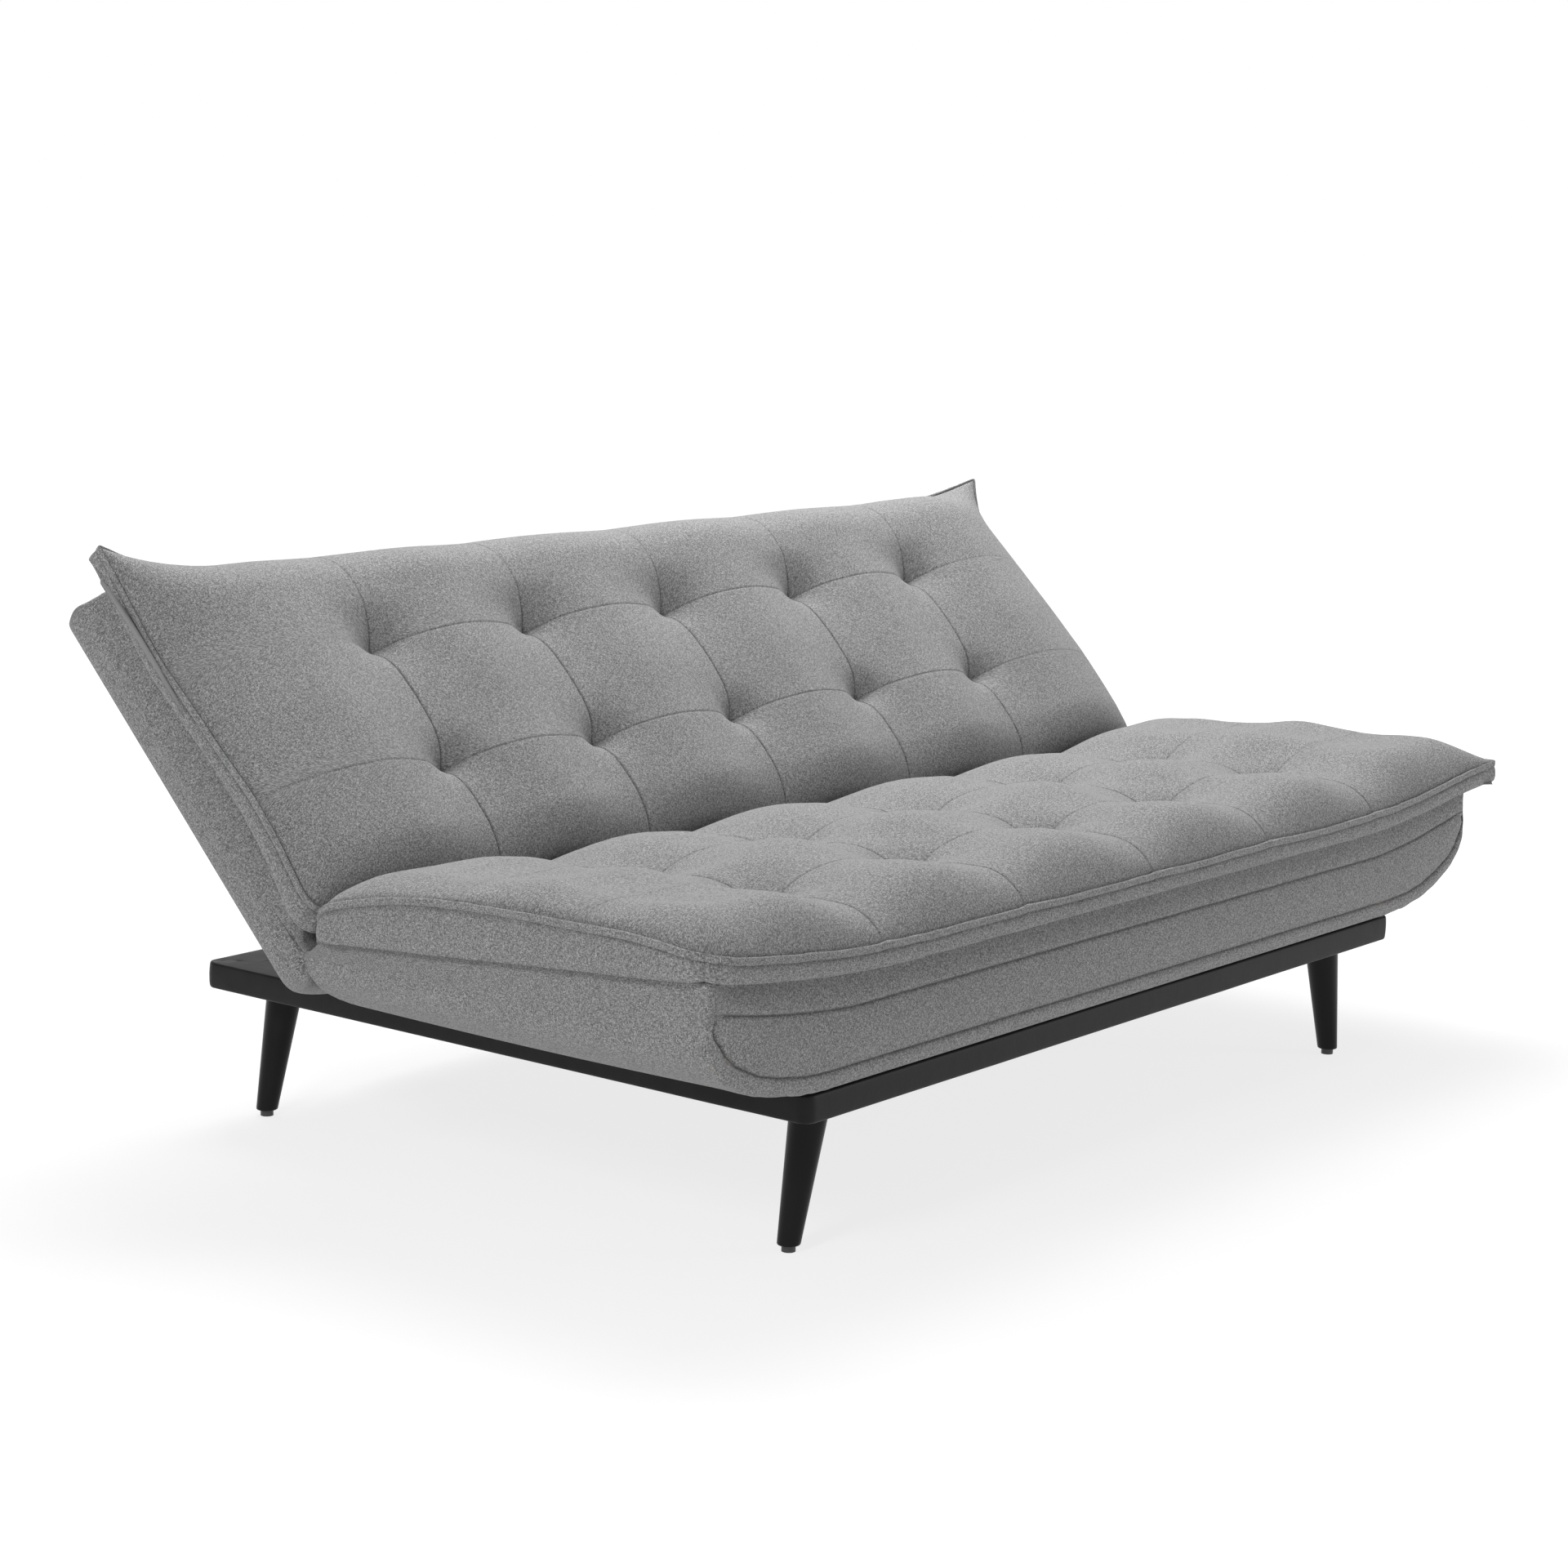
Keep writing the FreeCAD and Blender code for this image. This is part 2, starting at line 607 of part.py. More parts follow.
def make_box_softs(frame, core, outer, core_tall):
    """Foam on the webbing, the fabric cover round the box and the dust cover under it."""
    full = ("-box_half_length", "2 * box_half_length")
    above = ("strap_thickness", "seat_far_top")
    foam = block(f"{frame}_foam_blank", full, along(frame, "board_near", f"{frame}_reach"), above)
    sub_part(common(f"{frame}_foam_shaped", foam, core), f"{frame}_foam", frame)

    panel_x = ("-dust_half_length", "2 * dust_half_length")
    panel_y = along(frame, "dust_near", f"{frame}_reach - dust_margin")
    opening = block(f"{frame}_opening", panel_x, panel_y, ("box_bottom - 1", "box_skin + 2"))
    panel = block(f"{frame}_panel", panel_x, panel_y, ("box_bottom + 0.5", "dust_cover_thickness"))
    sub_part(panel, f"{frame}_dust_cover", frame)

    shell = cut(f"{frame}_shell", outer, core_tall)
    slots = []
    for name, side in SIDES.items():
        if frame == "seat":
            slots.append(block(f"seat_slot_{name}",
                               outward(side, "bracket_plane - 2 * plate_thickness", "seat_slot_width"),
                               along("seat", "seat_near - 1", "board_near"), ("seat_slot_low", "seat_slot_height")))
        else:
            slots.append(block(f"back_slot_{name}", outward(side, "slot_inner", "slot_outer - slot_inner"),
                               along("back", "-roll_radius - 1", "board_near"),
                               ("box_bottom - 1", "slot_height")))
    sub_part(cut(f"{frame}_cover_cut", shell, group(f"{frame}_cover_holes", slots + [opening])),
             f"{frame}_cover", frame)
    if frame == "back":
        roll = block("edge_roll_blank", full, along("back", "-roll_radius", "board_near - 1"),
                     ("box_bottom", "slot_height"))
        roll_shaped = common("edge_roll_shaped", roll, core)
        sub_part(cut("edge_roll", roll_shaped, group("edge_roll_slots", slots)), "back_edge_roll", "back")


def make_box(frame):
    """Everything of the seat or the back but its pad."""
    outer = feature(f"{frame}_outer", box_solid(frame, 0, 0))
    core_tall = feature(f"{frame}_core_tall", box_solid(frame, mm("box_skin"), mm("core_headroom")))
    core = common(f"{frame}_core", core_tall, outer)
    screws = arm_screw_solids(frame)
    notches = []
    for name, side in SIDES.items():
        start, width = arm_plane(frame, side)
        notches.append(block(f"{frame}_notch_{name}", (f"{start} - 1", f"{width} + 2"),
                             along(frame, "board_near - 1", "board_near + board_thickness + 1"),
                             ("arm_bottom - 2", "core_headroom - arm_bottom")))
    make_box_boards(frame, core, group(f"{frame}_notches", notches), screws)
    make_webbing(frame)
    make_box_softs(frame, core, outer, core_tall)
    make_arms(frame, screws)
    sub_part(group(f"{frame}_screw_group", screws.Links), f"{frame}_arm_screws", frame)


# ---------------------------------------------------------------- pads

def pad_outline(frame):
    """A crowned pad from the side, counted away from the hinge line."""
    turn = math.radians(mm("pad_clear_angle"))
    reach = mm(f"{frame}_pad_reach")
    edge = mm(f"{frame}_pad_edge")
    crown = mm(f"{frame}_pad_crown")
    far_under = (mm("seat_far_top") if frame == "seat" else mm("back_top")) + mm("pad_clearance")
    near_under = (mm("seat_near_top") if frame == "seat" else mm("back_top")) + mm("pad_clearance")
    foot_height = near_under + 6
    foot = foot_height / math.tan(turn) + 1
    brow_height = 0.73 * crown
    brow = brow_height / math.tan(turn) + 1
    near_run = 0.27 * reach
    far_run = 0.9 * reach
    return [
        line((reach - 4, far_under), (reach, edge)),
        arc((reach, edge), (0.97 * reach, 0.88 * crown), (far_run, 0.95 * crown)),
        arc((far_run, 0.95 * crown), ((near_run + far_run) / 2, crown), (near_run, 0.94 * crown)),
        arc((near_run, 0.94 * crown), ((near_run + brow) / 2, 0.87 * crown), (brow, brow_height)),
        line((brow, brow_height), (foot, foot_height)),
        line((foot, foot_height), (foot, near_under)),
        line((foot, near_under), (reach - 4, far_under)),
    ]


def pad_section(frame):
    """The pad seen from the front: upright ends that round into the crown. Runs along Y."""
    half_length = mm("pad_half_length")
    edge = mm(f"{frame}_pad_edge")
    crown = mm(f"{frame}_pad_crown") + 1
    run = half_length - mm("pad_end_crown")
    middle = half_length - 0.2 * mm("pad_end_crown")
    outline = []
    for side in (-1, 1):
        outline.append(line((side * half_length, 0), (side * half_length, edge)))
        outline.append(arc((side * half_length, edge), (side * middle, 0.9 * crown), (side * run, crown)))
    outline.append(line((-half_length, 0), (half_length, 0)))
    outline.append(line((-run, crown), (run, crown)))
    face = Part.Face(Part.Wire(Part.__sortEdges__(outline)))
    face.rotate(Vector(), Vector(0, 0, 1), -90)
    face.translate(Vector(0, -mm("seat_reach") * 2, 0))
    return face.extrude(Vector(0, 4 * mm("seat_reach"), 0))


def pad_ear(frame, side):
    """The pinched corner of the pad's edge: a thin three-sided tab."""
    half_length = mm("pad_half_length")
    reach = mm(f"{frame}_pad_reach")
    ear = mm("pad_ear")
    low = mm(f"{frame}_ear_height") - mm("pad_ear_thickness")
    tip_reach = reach + (6 if frame == "seat" else 1)
    corners = [(side * (half_length + ear), tip_reach), (side * (half_length - 8), reach - 1.6 * ear),
               (side * (half_length - 1.2 * ear), reach - 8)]
    points = [Vector(x, y, low) for x, y in corners]
    face = Part.Face(Part.makePolygon(points + points[:1]))
    return face.extrude(Vector(0, 0, mm("pad_ear_thickness")))


def make_pad(frame):
    solid = side_prism(pad_outline(frame), mm("pad_half_length")).common(pad_section(frame))
    solid = solid.fuse([pad_ear(frame, side) for side in SIDES.values()]).removeSplitter()
    if frame == "seat":
        solid = solid.mirror(Vector(), Vector(0, 1, 0))
    sub_part(feature(f"{frame}_pad_solid", solid), f"{frame}_pad", frame)


# ---------------------------------------------------------------- the whole sofa

def make_base():
    screws = bracket_screw_solids()
    inside = make_base_inside()
    make_base_frame(inside)
    make_base_cross_rails(screws)
    make_base_shell(inside, screws)
    make_bumpers()
    make_legs()
    make_brackets(screws)
    make_pivots()
    sub_part(group("bracket_screw_group", screws.Links), "bracket_screws", "base")


def export():
    """Check every object, then write each sub-part to its own file."""
    for thing in doc.Objects:
        if "Invalid" in thing.State or "Error" in thing.State:
            raise RuntimeError(f"{thing.Name} failed: {thing.State}")
    os.makedirs("parts", exist_ok=True)
    whole = FreeCAD.BoundBox()
    for thing in sub_parts:
        shape = thing.Shape
        if shape.isNull() or not shape.isValid() or not shape.Solids:
            raise RuntimeError(f"{thing.Label} has no valid solid")
        whole.add(shape.BoundBox)
        shape.exportStep(f"parts/{thing.Label}.step")
    print(f"{len(sub_parts)} sub-parts, X {whole.XMin:.1f} to {whole.XMax:.1f}, "
          f"Y {whole.YMin:.2f} to {whole.YMax:.2f}, Z {whole.ZMin:.2f} to {whole.ZMax:.2f}")


make_base()
for box_frame in ("seat", "back"):
    make_box(box_frame)
    make_pad(box_frame)
doc.recompute()
export()
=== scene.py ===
"""The looks of a futon sofa bed: two quilted pads on upholstered boxes over a low black base."""

import json
import math

import bmesh
import bpy
import numpy as np
from mathutils import Matrix, Vector


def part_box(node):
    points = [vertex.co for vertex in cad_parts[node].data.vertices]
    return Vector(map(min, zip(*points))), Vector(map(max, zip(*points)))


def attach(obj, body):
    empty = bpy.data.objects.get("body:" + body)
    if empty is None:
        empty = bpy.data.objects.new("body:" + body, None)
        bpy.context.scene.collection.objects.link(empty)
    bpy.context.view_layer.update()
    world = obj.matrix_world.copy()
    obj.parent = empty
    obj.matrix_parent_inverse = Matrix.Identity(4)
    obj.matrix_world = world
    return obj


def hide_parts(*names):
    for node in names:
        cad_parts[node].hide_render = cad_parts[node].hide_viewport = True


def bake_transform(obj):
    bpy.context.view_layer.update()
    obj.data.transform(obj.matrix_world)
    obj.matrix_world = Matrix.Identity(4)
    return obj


norm = np.linalg.norm
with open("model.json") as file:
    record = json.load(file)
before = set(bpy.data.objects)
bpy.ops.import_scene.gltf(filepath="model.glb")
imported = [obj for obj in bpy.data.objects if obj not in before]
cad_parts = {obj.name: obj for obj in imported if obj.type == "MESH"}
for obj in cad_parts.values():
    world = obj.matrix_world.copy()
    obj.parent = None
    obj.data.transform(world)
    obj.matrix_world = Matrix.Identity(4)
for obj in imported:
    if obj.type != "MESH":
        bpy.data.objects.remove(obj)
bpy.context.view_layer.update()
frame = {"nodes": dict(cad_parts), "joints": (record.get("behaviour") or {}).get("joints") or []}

MM = 0.001
JOINTS = {joint["name"]: joint for joint in frame["joints"]}
HINGE = np.array(JOINTS["back_recline"]["pos_m"], float)
# The back leans this far from flat as packed; its flat limit is the range's lower end.
LEAN = math.radians(-JOINTS["back_recline"]["range_deg"][0])
COLUMNS = np.array([-615.0, -308.0, 0.0, 308.0, 615.0])


# ---- places and small maths

def place_seat(points):
    """Seat coordinates, in millimetres from the hinge: across, forward and up."""
    return np.column_stack((points[:, 0] * MM, HINGE[1] - points[:, 1] * MM, HINGE[2] + points[:, 2] * MM))


def place_back(points):
    """Back coordinates, in millimetres from the hinge: across, along the back and out of its face."""
    along, out = points[:, 1] * MM, points[:, 2] * MM
    turn_y = HINGE[1] + along * math.cos(LEAN) - out * math.sin(LEAN)
    turn_z = HINGE[2] + along * math.sin(LEAN) + out * math.cos(LEAN)
    return np.column_stack((points[:, 0] * MM, turn_y, turn_z))


def place_row(points):
    """Row coordinates in millimetres."""
    return points * MM


def unit(t):
    return np.clip(t, 0.0, 1.0)


def ease(t):
    t = unit(t)
    return t * t * (3.0 - 2.0 * t)


def hump(distance, width):
    return np.exp(-(distance / width) ** 2)


def nearest(values, lines):
    """Distance from each value to the nearest of some lines."""
    return np.min(np.abs(values[..., None] - lines), axis=-1)


def corners(grid):
    """The four corner entries of every cell of a grid."""
    return np.stack((grid[:-1, :-1], grid[1:, :-1], grid[1:, 1:], grid[:-1, 1:]), axis=2)


def left_normals(outline):
    """Unit normals on the left of a closed outline's run."""
    run = np.roll(outline, -1, axis=0) - np.roll(outline, 1, axis=0)
    run /= np.maximum(norm(run, axis=1, keepdims=True), 1e-6)
    return np.column_stack((-run[:, 1], run[:, 0]))


def value_noise(size, u, v, seed):
    """Smooth noise from -1 to 1 over (u, v), with features of the given size."""
    table = np.random.default_rng(seed).uniform(-1.0, 1.0, (64, 64))
    a, b = np.asarray(u) / size + 500.0, np.asarray(v) / size + 500.0
    i, j = np.floor(a).astype(int), np.floor(b).astype(int)
    s, t = ease(a - i), ease(b - j)
    low = table[i % 64, j % 64] * (1 - s) + table[(i + 1) % 64, j % 64] * s
    high = table[i % 64, (j + 1) % 64] * (1 - s) + table[(i + 1) % 64, (j + 1) % 64] * s
    return low * (1 - t) + high * t


def hermite(knots, values, wanted):
    """Smooth interpolation of values, given at knots along their first axis."""
    slopes = np.gradient(values, knots, axis=0)
    spot = np.clip(np.searchsorted(knots, wanted, side="right") - 1, 0, len(knots) - 2)
    gap = knots[spot + 1] - knots[spot]
    t = unit((wanted - knots[spot]) / gap)
    shape = (-1,) + (1,) * (values.ndim - 1)
    t, gap = t.reshape(shape), gap.reshape(shape)
    return (
        values[spot] * (2 * t ** 3 - 3 * t ** 2 + 1)
        + slopes[spot] * gap * (t ** 3 - 2 * t ** 2 + t)
        + values[spot + 1] * (3 * t ** 2 - 2 * t ** 3)
        + slopes[spot + 1] * gap * (t ** 3 - t ** 2)
    )


def steps(edges):
    """Distances along a chain of points."""
    return np.concatenate(([0.0], np.cumsum(norm(np.diff(edges, axis=0), axis=1))))


# ---- meshes

class Shell:
    """Collects the vertices, faces and weave coordinates of one piece."""

    def __init__(self):
        self.points, self.marks, self.faces, self.weave = [], [], [], []
        self.count = 0

    def add(self, points, marks=0.0):
        """Adds vertices and returns their numbers, in the points' own grid shape."""
        grid = points.shape[:-1]
        flat = points.reshape(-1, 3)
        self.points.append(flat)
        self.marks.append(np.broadcast_to(marks, grid).reshape(-1))
        numbers = np.arange(self.count, self.count + len(flat)).reshape(grid)
        self.count += len(flat)
        return numbers

    def patch(self, numbers, weave):
        """Quads over a grid of vertex numbers, with a weave coordinate in millimetres for each."""
        self.faces += corners(numbers).reshape(-1, 4).tolist()
        self.weave.append(corners(weave).reshape(-1, 2))

    def tube(self, rings, around, along):
        """Closed rings of points, with weave coordinates round and along them; returns their numbers."""
        numbers = self.add(np.array(rings))
        closed = np.hstack((numbers, numbers[:, :1]))
        self.patch(closed, np.stack(np.broadcast_arrays(around[None, :], along[:, None]), axis=-1))
        return numbers

    def cap(self, numbers, weave):
        """One face over a loop of vertices."""
        self.faces.append([int(n) for n in numbers])
        self.weave.append(np.asarray(weave, float).reshape(-1, 2))

    def make(self, name, place, material):
        mesh = bpy.data.meshes.new(name)
        mesh.from_pydata(place(np.concatenate(self.points)).tolist(), [], self.faces)
        layer = mesh.uv_layers.new(name="weave")
        layer.data.foreach_set("uv", (np.concatenate(self.weave) * MM).astype(np.float32).reshape(-1))
        # The seam attribute holds painted shade for seam grooves and creases; the cloth's colour is darkened
        # by it.
        mark = mesh.attributes.new("seam", "FLOAT", "POINT")
        mark.data.foreach_set("value", np.concatenate(self.marks).astype(np.float32))
        work = bmesh.new()
        work.from_mesh(mesh)
        bmesh.ops.remove_doubles(work, verts=work.verts, dist=0.00004)
        bmesh.ops.recalc_face_normals(work, faces=work.faces)
        work.to_mesh(mesh)
        work.free()
        mesh.shade_smooth()
        mesh.materials.append(material)
        piece = bpy.data.objects.new(name, mesh)
        bpy.context.scene.collection.objects.link(piece)
        return piece


# ---- materials

class Nodes:
    """A new material's node tree, with short calls for the nodes used here."""

    def __init__(self, name):
        self.material = bpy.data.materials.new(name)
        self.material.use_nodes = True
        self.tree = self.material.node_tree
        self.shader = self.tree.nodes["Principled BSDF"]

    def node(self, kind, **settings):
        made = self.tree.nodes.new(kind)
        for key, value in settings.items():
            setattr(made, key, value)
        return made

    def join(self, source, target):
        self.tree.links.new(source, target)

    def math(self, operation, first, second=None, third=None):
        made = self.node("ShaderNodeMath", operation=operation)
        for spot, value in enumerate((first, second, third)):
            if value is None:
                continue
            if isinstance(value, (int, float)):
                made.inputs[spot].default_value = value
            else:
                self.join(value, made.inputs[spot])
        return made.outputs[0]

    def times(self, source, factor):
        return self.math("MULTIPLY", source, factor)

    def plus(self, first, second):
        return self.math("ADD", first, second)

    def feed(self, **sources):
        """Joins each source to the shader's socket of that name."""
        for key, source in sources.items():
            self.join(source, self.shader.inputs[key.replace("_", " ")])

    def noise(self, vector, scale, detail=2.0, roughness=0.5, stretch=None):
        if stretch is not None:
            mapping = self.node("ShaderNodeMapping")
            mapping.inputs["Scale"].default_value = stretch
            self.join(vector, mapping.inputs["Vector"])
            vector = mapping.outputs[0]
        made = self.node("ShaderNodeTexNoise")
        made.inputs["Scale"].default_value = scale
        made.inputs["Detail"].default_value = detail
        made.inputs["Roughness"].default_value = roughness
        self.join(vector, made.inputs["Vector"])
        return made.outputs["Fac"]

    def ramp(self, factor, stops):
        made = self.node("ShaderNodeValToRGB")
        elements = made.color_ramp.elements
        while len(elements) < len(stops):
            elements.new(0.5)
        for element, (position, colour) in zip(elements, stops):
            element.position = position
            element.color = (*colour, 1.0)
        self.join(factor, made.inputs[0])
        return made.outputs[0]

    def bump(self, height, strength, distance, normal=None):
        made = self.node("ShaderNodeBump")
        made.inputs["Strength"].default_value = strength
        made.inputs["Distance"].default_value = distance
        self.join(height, made.inputs["Height"])
        if normal is not None:
            self.join(normal, made.inputs["Normal"])
        return made.outputs[0]

    def set(self, **values):
        for key, value in values.items():
            self.shader.inputs[key.replace("_", " ")].default_value = value
        return self.material

    def object_vector(self):
        return self.node("ShaderNodeTexCoord").outputs["Object"]


def grey(value):
    return (value, value, value)


def woven_cloth(name, level, pitch=1.5, bump=0.5):
    """A heathered plain weave, with light and dark yarns that change shade along their length, and painted
    shade along its seams and creases.
    """
    nodes = Nodes(name)
    weave = nodes.node("ShaderNodeUVMap", uv_map="weave").outputs[0]
    split = nodes.node("ShaderNodeSeparateXYZ")
    wander = nodes.node("ShaderNodeVectorMath", operation="MULTIPLY_ADD")
    drift = nodes.node("ShaderNodeTexNoise")
    drift.inputs["Scale"].default_value = 60.0
    nodes.join(weave, drift.inputs["Vector"])
    nodes.join(drift.outputs["Color"], wander.inputs[0])
    wander.inputs[1].default_value = (0.0022, 0.0022, 0.0)
    nodes.join(weave, wander.inputs[2])
    nodes.join(wander.outputs[0], split.inputs[0])
    across, along = (nodes.times(split.outputs[axis], 1.0 / (pitch * MM)) for axis in (0, 1))
    warp, weft = (nodes.math("SINE", nodes.times(count, math.pi)) for count in (across, along))
    over = nodes.times(warp, weft)
    yarn = nodes.math("POWER", nodes.math("ABSOLUTE", over), 0.6)
    on_top = nodes.math("GREATER_THAN", over, 0.0)
    slub_weft = nodes.noise(weave, 700.0, 2.0, 0.5, (0.30, 1.0, 1.0))
    slub_warp = nodes.noise(weave, 700.0, 2.0, 0.5, (1.0, 0.30, 1.0))
    mixed = nodes.node("ShaderNodeMix", data_type="FLOAT")
    nodes.join(on_top, mixed.inputs[0])
    nodes.join(slub_weft, mixed.inputs[2])
    nodes.join(slub_warp, mixed.inputs[3])
    cell = nodes.node("ShaderNodeCombineXYZ")
    nodes.join(nodes.math("FLOOR", across), cell.inputs[0])
    nodes.join(nodes.math("FLOOR", along), cell.inputs[1])
    speck = nodes.node("ShaderNodeTexWhiteNoise", noise_dimensions="2D")
    nodes.join(cell.outputs[0], speck.inputs["Vector"])
    broad = nodes.noise(weave, 90.0, 2.0, 0.5)
    tone = nodes.times(mixed.outputs[0], 1.7)
    for source, weight in ((speck.outputs["Value"], 0.5), (broad, 0.10), (yarn, 0.16)):
        tone = nodes.plus(tone, nodes.times(source, weight))
    tone = nodes.math("SUBTRACT", tone, 0.78)
    colour = nodes.ramp(tone, [(0.10, grey(level * 0.36)), (0.42, grey(level * 0.81)),
                               (0.62, grey(level * 1.09)), (0.95, grey(level * 1.75))])
    # Painted shade: the colour is darkened along seam grooves and edge creases by the seam attribute.
    seam = nodes.node("ShaderNodeAttribute", attribute_name="seam").outputs["Fac"]
    painted_seam_shade = nodes.math("SUBTRACT", 1.0, nodes.times(seam, 0.62))
    shaded = nodes.node("ShaderNodeMix", data_type="RGBA", blend_type="MULTIPLY")
    shaded.inputs[0].default_value = 1.0
    nodes.join(colour, shaded.inputs[6])
    shade = nodes.node("ShaderNodeCombineColor")
    for spot in range(3):
        nodes.join(painted_seam_shade, shade.inputs[spot])
    nodes.join(shade.outputs[0], shaded.inputs[7])
    height = nodes.plus(yarn, nodes.times(mixed.outputs[0], 0.6))
    nodes.feed(Base_Color=shaded.outputs[2], Normal=nodes.bump(height, bump, 0.0006),
               Roughness=nodes.plus(0.86, nodes.times(broad, 0.12)))
    return nodes.set(Sheen_Weight=0.12, Sheen_Roughness=0.5, Specular_IOR_Level=0.25)


def leatherette(name):
    """Coated cloth with a fine grain and soft creases."""
    nodes = Nodes(name)
    vector = nodes.object_vector()
    grain = nodes.node("ShaderNodeTexVoronoi", feature="SMOOTH_F1")
    grain.inputs["Scale"].default_value = 900.0
    nodes.join(vector, grain.inputs["Vector"])
    crease = nodes.noise(vector, 22.0, 4.0, 0.6)
    fine = nodes.bump(grain.outputs["Distance"], 0.25, 0.0004)
    nodes.feed(Base_Color=nodes.ramp(crease, [(0.3, grey(0.0055)), (0.7, grey(0.011))]),
               Normal=nodes.bump(crease, 0.18, 0.004, fine),
               Roughness=nodes.plus(0.36, nodes.times(crease, 0.2)))
    return nodes.set(Specular_IOR_Level=0.16)


def lacquer(name):
    """Satin paint with a slight orange peel."""
    nodes = Nodes(name)
    vector = nodes.object_vector()
    peel = nodes.noise(vector, 160.0, 2.0)
    cloud = nodes.noise(vector, 12.0, 3.0)
    nodes.feed(Base_Color=nodes.ramp(cloud, [(0.3, grey(0.003)), (0.7, grey(0.005))]),
               Roughness=nodes.plus(0.26, nodes.times(cloud, 0.14)),
               Normal=nodes.bump(peel, 0.06, 0.0006))
    return nodes.set(Specular_IOR_Level=0.15)


def speckled(name, dark, light, scale, roughness, metallic=0.0, stretch=None, bump=0.2):
    """A plain finish with its own grain: timber, foam, steel, rubber or plastic."""
    nodes = Nodes(name)
    vector = nodes.object_vector()
    grain = nodes.noise(vector, scale, 4.0, 0.6, stretch)
    wear = nodes.noise(vector, scale * 0.07 + 4.0, 3.0)
    nodes.feed(Base_Color=nodes.ramp(grain, [(0.28, dark), (0.72, light)]),
               Roughness=nodes.plus(roughness - 0.08, nodes.times(wear, 0.16)),
               Normal=nodes.bump(grain, bump, 0.0006))
    return nodes.set(Metallic=metallic)


FINISHES = {
    "grey_fabric": woven_cloth("grey_fabric", 0.215),
    "black_leatherette": leatherette("black_leatherette"),
    "black_lacquer": lacquer("black_lacquer"),
    "frame_wood": speckled("frame_wood", (0.36, 0.22, 0.11), (0.56, 0.38, 0.21), 34.0, 0.62,
                           stretch=(0.12, 1, 1)),
    "foam": speckled("foam", (0.62, 0.58, 0.45), (0.72, 0.68, 0.55), 420.0, 0.9, bump=0.5),
    "webbing": speckled("webbing", (0.05, 0.06, 0.05), (0.16, 0.17, 0.15), 500.0, 0.85,
                        stretch=(0.3, 1, 1), bump=0.5),
    "dust_cloth": speckled("dust_cloth", grey(0.010), grey(0.028), 700.0, 0.92, bump=0.5),
    "black_metal": speckled("black_metal", grey(0.012), grey(0.028), 260.0, 0.46, 0.6),
    "zinc_steel": speckled("zinc_steel", (0.42, 0.43, 0.45), (0.66, 0.67, 0.68), 120.0, 0.34, 1.0),
    "rubber": speckled("rubber", grey(0.014), grey(0.03), 380.0, 0.8),
    "glide_plastic": speckled("glide_plastic", grey(0.02), grey(0.035), 300.0, 0.5),
}


# ---- quilted pads

class Pad:
    """The numbers one quilted pad is made from, in millimetres from the hinge."""

    def __init__(self, name, near, reach, rows, bands, crown, outer, valleys, pinch, pinch_size):
        self.name, self.near, self.reach, self.half_length = name, near, reach, 953.0
        self.rows = np.array(rows, float)
        self.near_band, self.far_band, self.end_band = bands
        self.crown_at, self.crown = zip(*crown)
        self.outer, self.valleys, self.pinch, self.pinch_size = outer, valleys, pinch, pinch_size


SEAT = Pad("seat_quilt", near=60.0, reach=707.0, rows=(315.0, 519.0), bands=(160.0, 72.0, 66.0),
           crown=((200, 136), (315, 153), (417, 158), (519, 161), (640, 157)), outer=12.0,
           valleys=(22.0, 13.0), pinch=(22.0, 24.0), pinch_size=36.0)
BACK = Pad("back_quilt", near=8.0, reach=556.0, rows=(177.0, 374.0), bands=(74.0, 90.0, 190.0),
           crown=((60, 168), (177, 177), (275, 180), (374, 180), (500, 180)), outer=2.0,
           valleys=(19.0, 2.5), pinch=(25.0, 24.0), pinch_size=30.0)


def arch(r, start, crest, finish, rise, fall):
    """A curve up from one (place, height) point to a crest and down to another, level at the crest."""
    climb = unit((crest[0] - r) / (crest[0] - start[0])) ** rise
    drop = unit((r - crest[0]) / (finish[0] - crest[0])) ** fall
    return crest[1] - (crest[1] - start[1]) * climb - (crest[1] - finish[1]) * drop


def end_share(x):
    """0 along the middle of the sofa, rising to 1 at its ends."""
    return unit((np.abs(x) - 560.0) / 395.0) ** 1.8


def lip_height(pad, x, r):
    """Height of the pad's folded edge, carried on through the pad's inside."""
    share = end_share(x)
    if pad is SEAT:
        middle = np.interp(r, [60, 300, 707], [70, 85, 91])
        end = arch(r, (90, 100), (560, 141), (707, 129), 3.3, 1.8)
        # The lip dives round its rear corner.
        end = 58 + (end - 58) * np.sin(math.pi / 2 * unit((r - pad.near) / 40)) ** 0.65
    else:
        middle = np.interp(r, [8, 200, 556], [112, 100, 88])
        end = arch(r, (8, 112), (190, 129), (556, 101), 2.0, 1.1)
    return middle * (1 - share) + end * share


def foot_height(pad, x, r):
    """Height of the pad's lower edge, where it meets the box."""
    share = end_share(x)
    if pad is SEAT:
        middle = np.interp(r, [60, 707], [46, 61.5])
        end = np.interp(r, [60, 707], [48, 97])
    else:
        middle = np.interp(r, [8, 556], [68, 67])
        end = arch(r, (8, 66), (215, 98), (556, 73), 2.0, 1.2)
    return middle * (1 - share) + end * share


def rest_height(pad, x, r):
    """Height of the box under the pad's edge; the back pad's ends stand clear of it."""
    return foot_height(pad, x, r) if pad is SEAT else np.full(x.shape, 66.0)


def valley(distance, half):
    """1 on a seam, falling to 0 half way to the next one."""
    t = unit(distance / half)
    return 0.45 * (1 - t) ** 2 + 0.55 * (0.5 + 0.5 * np.cos(math.pi * t))


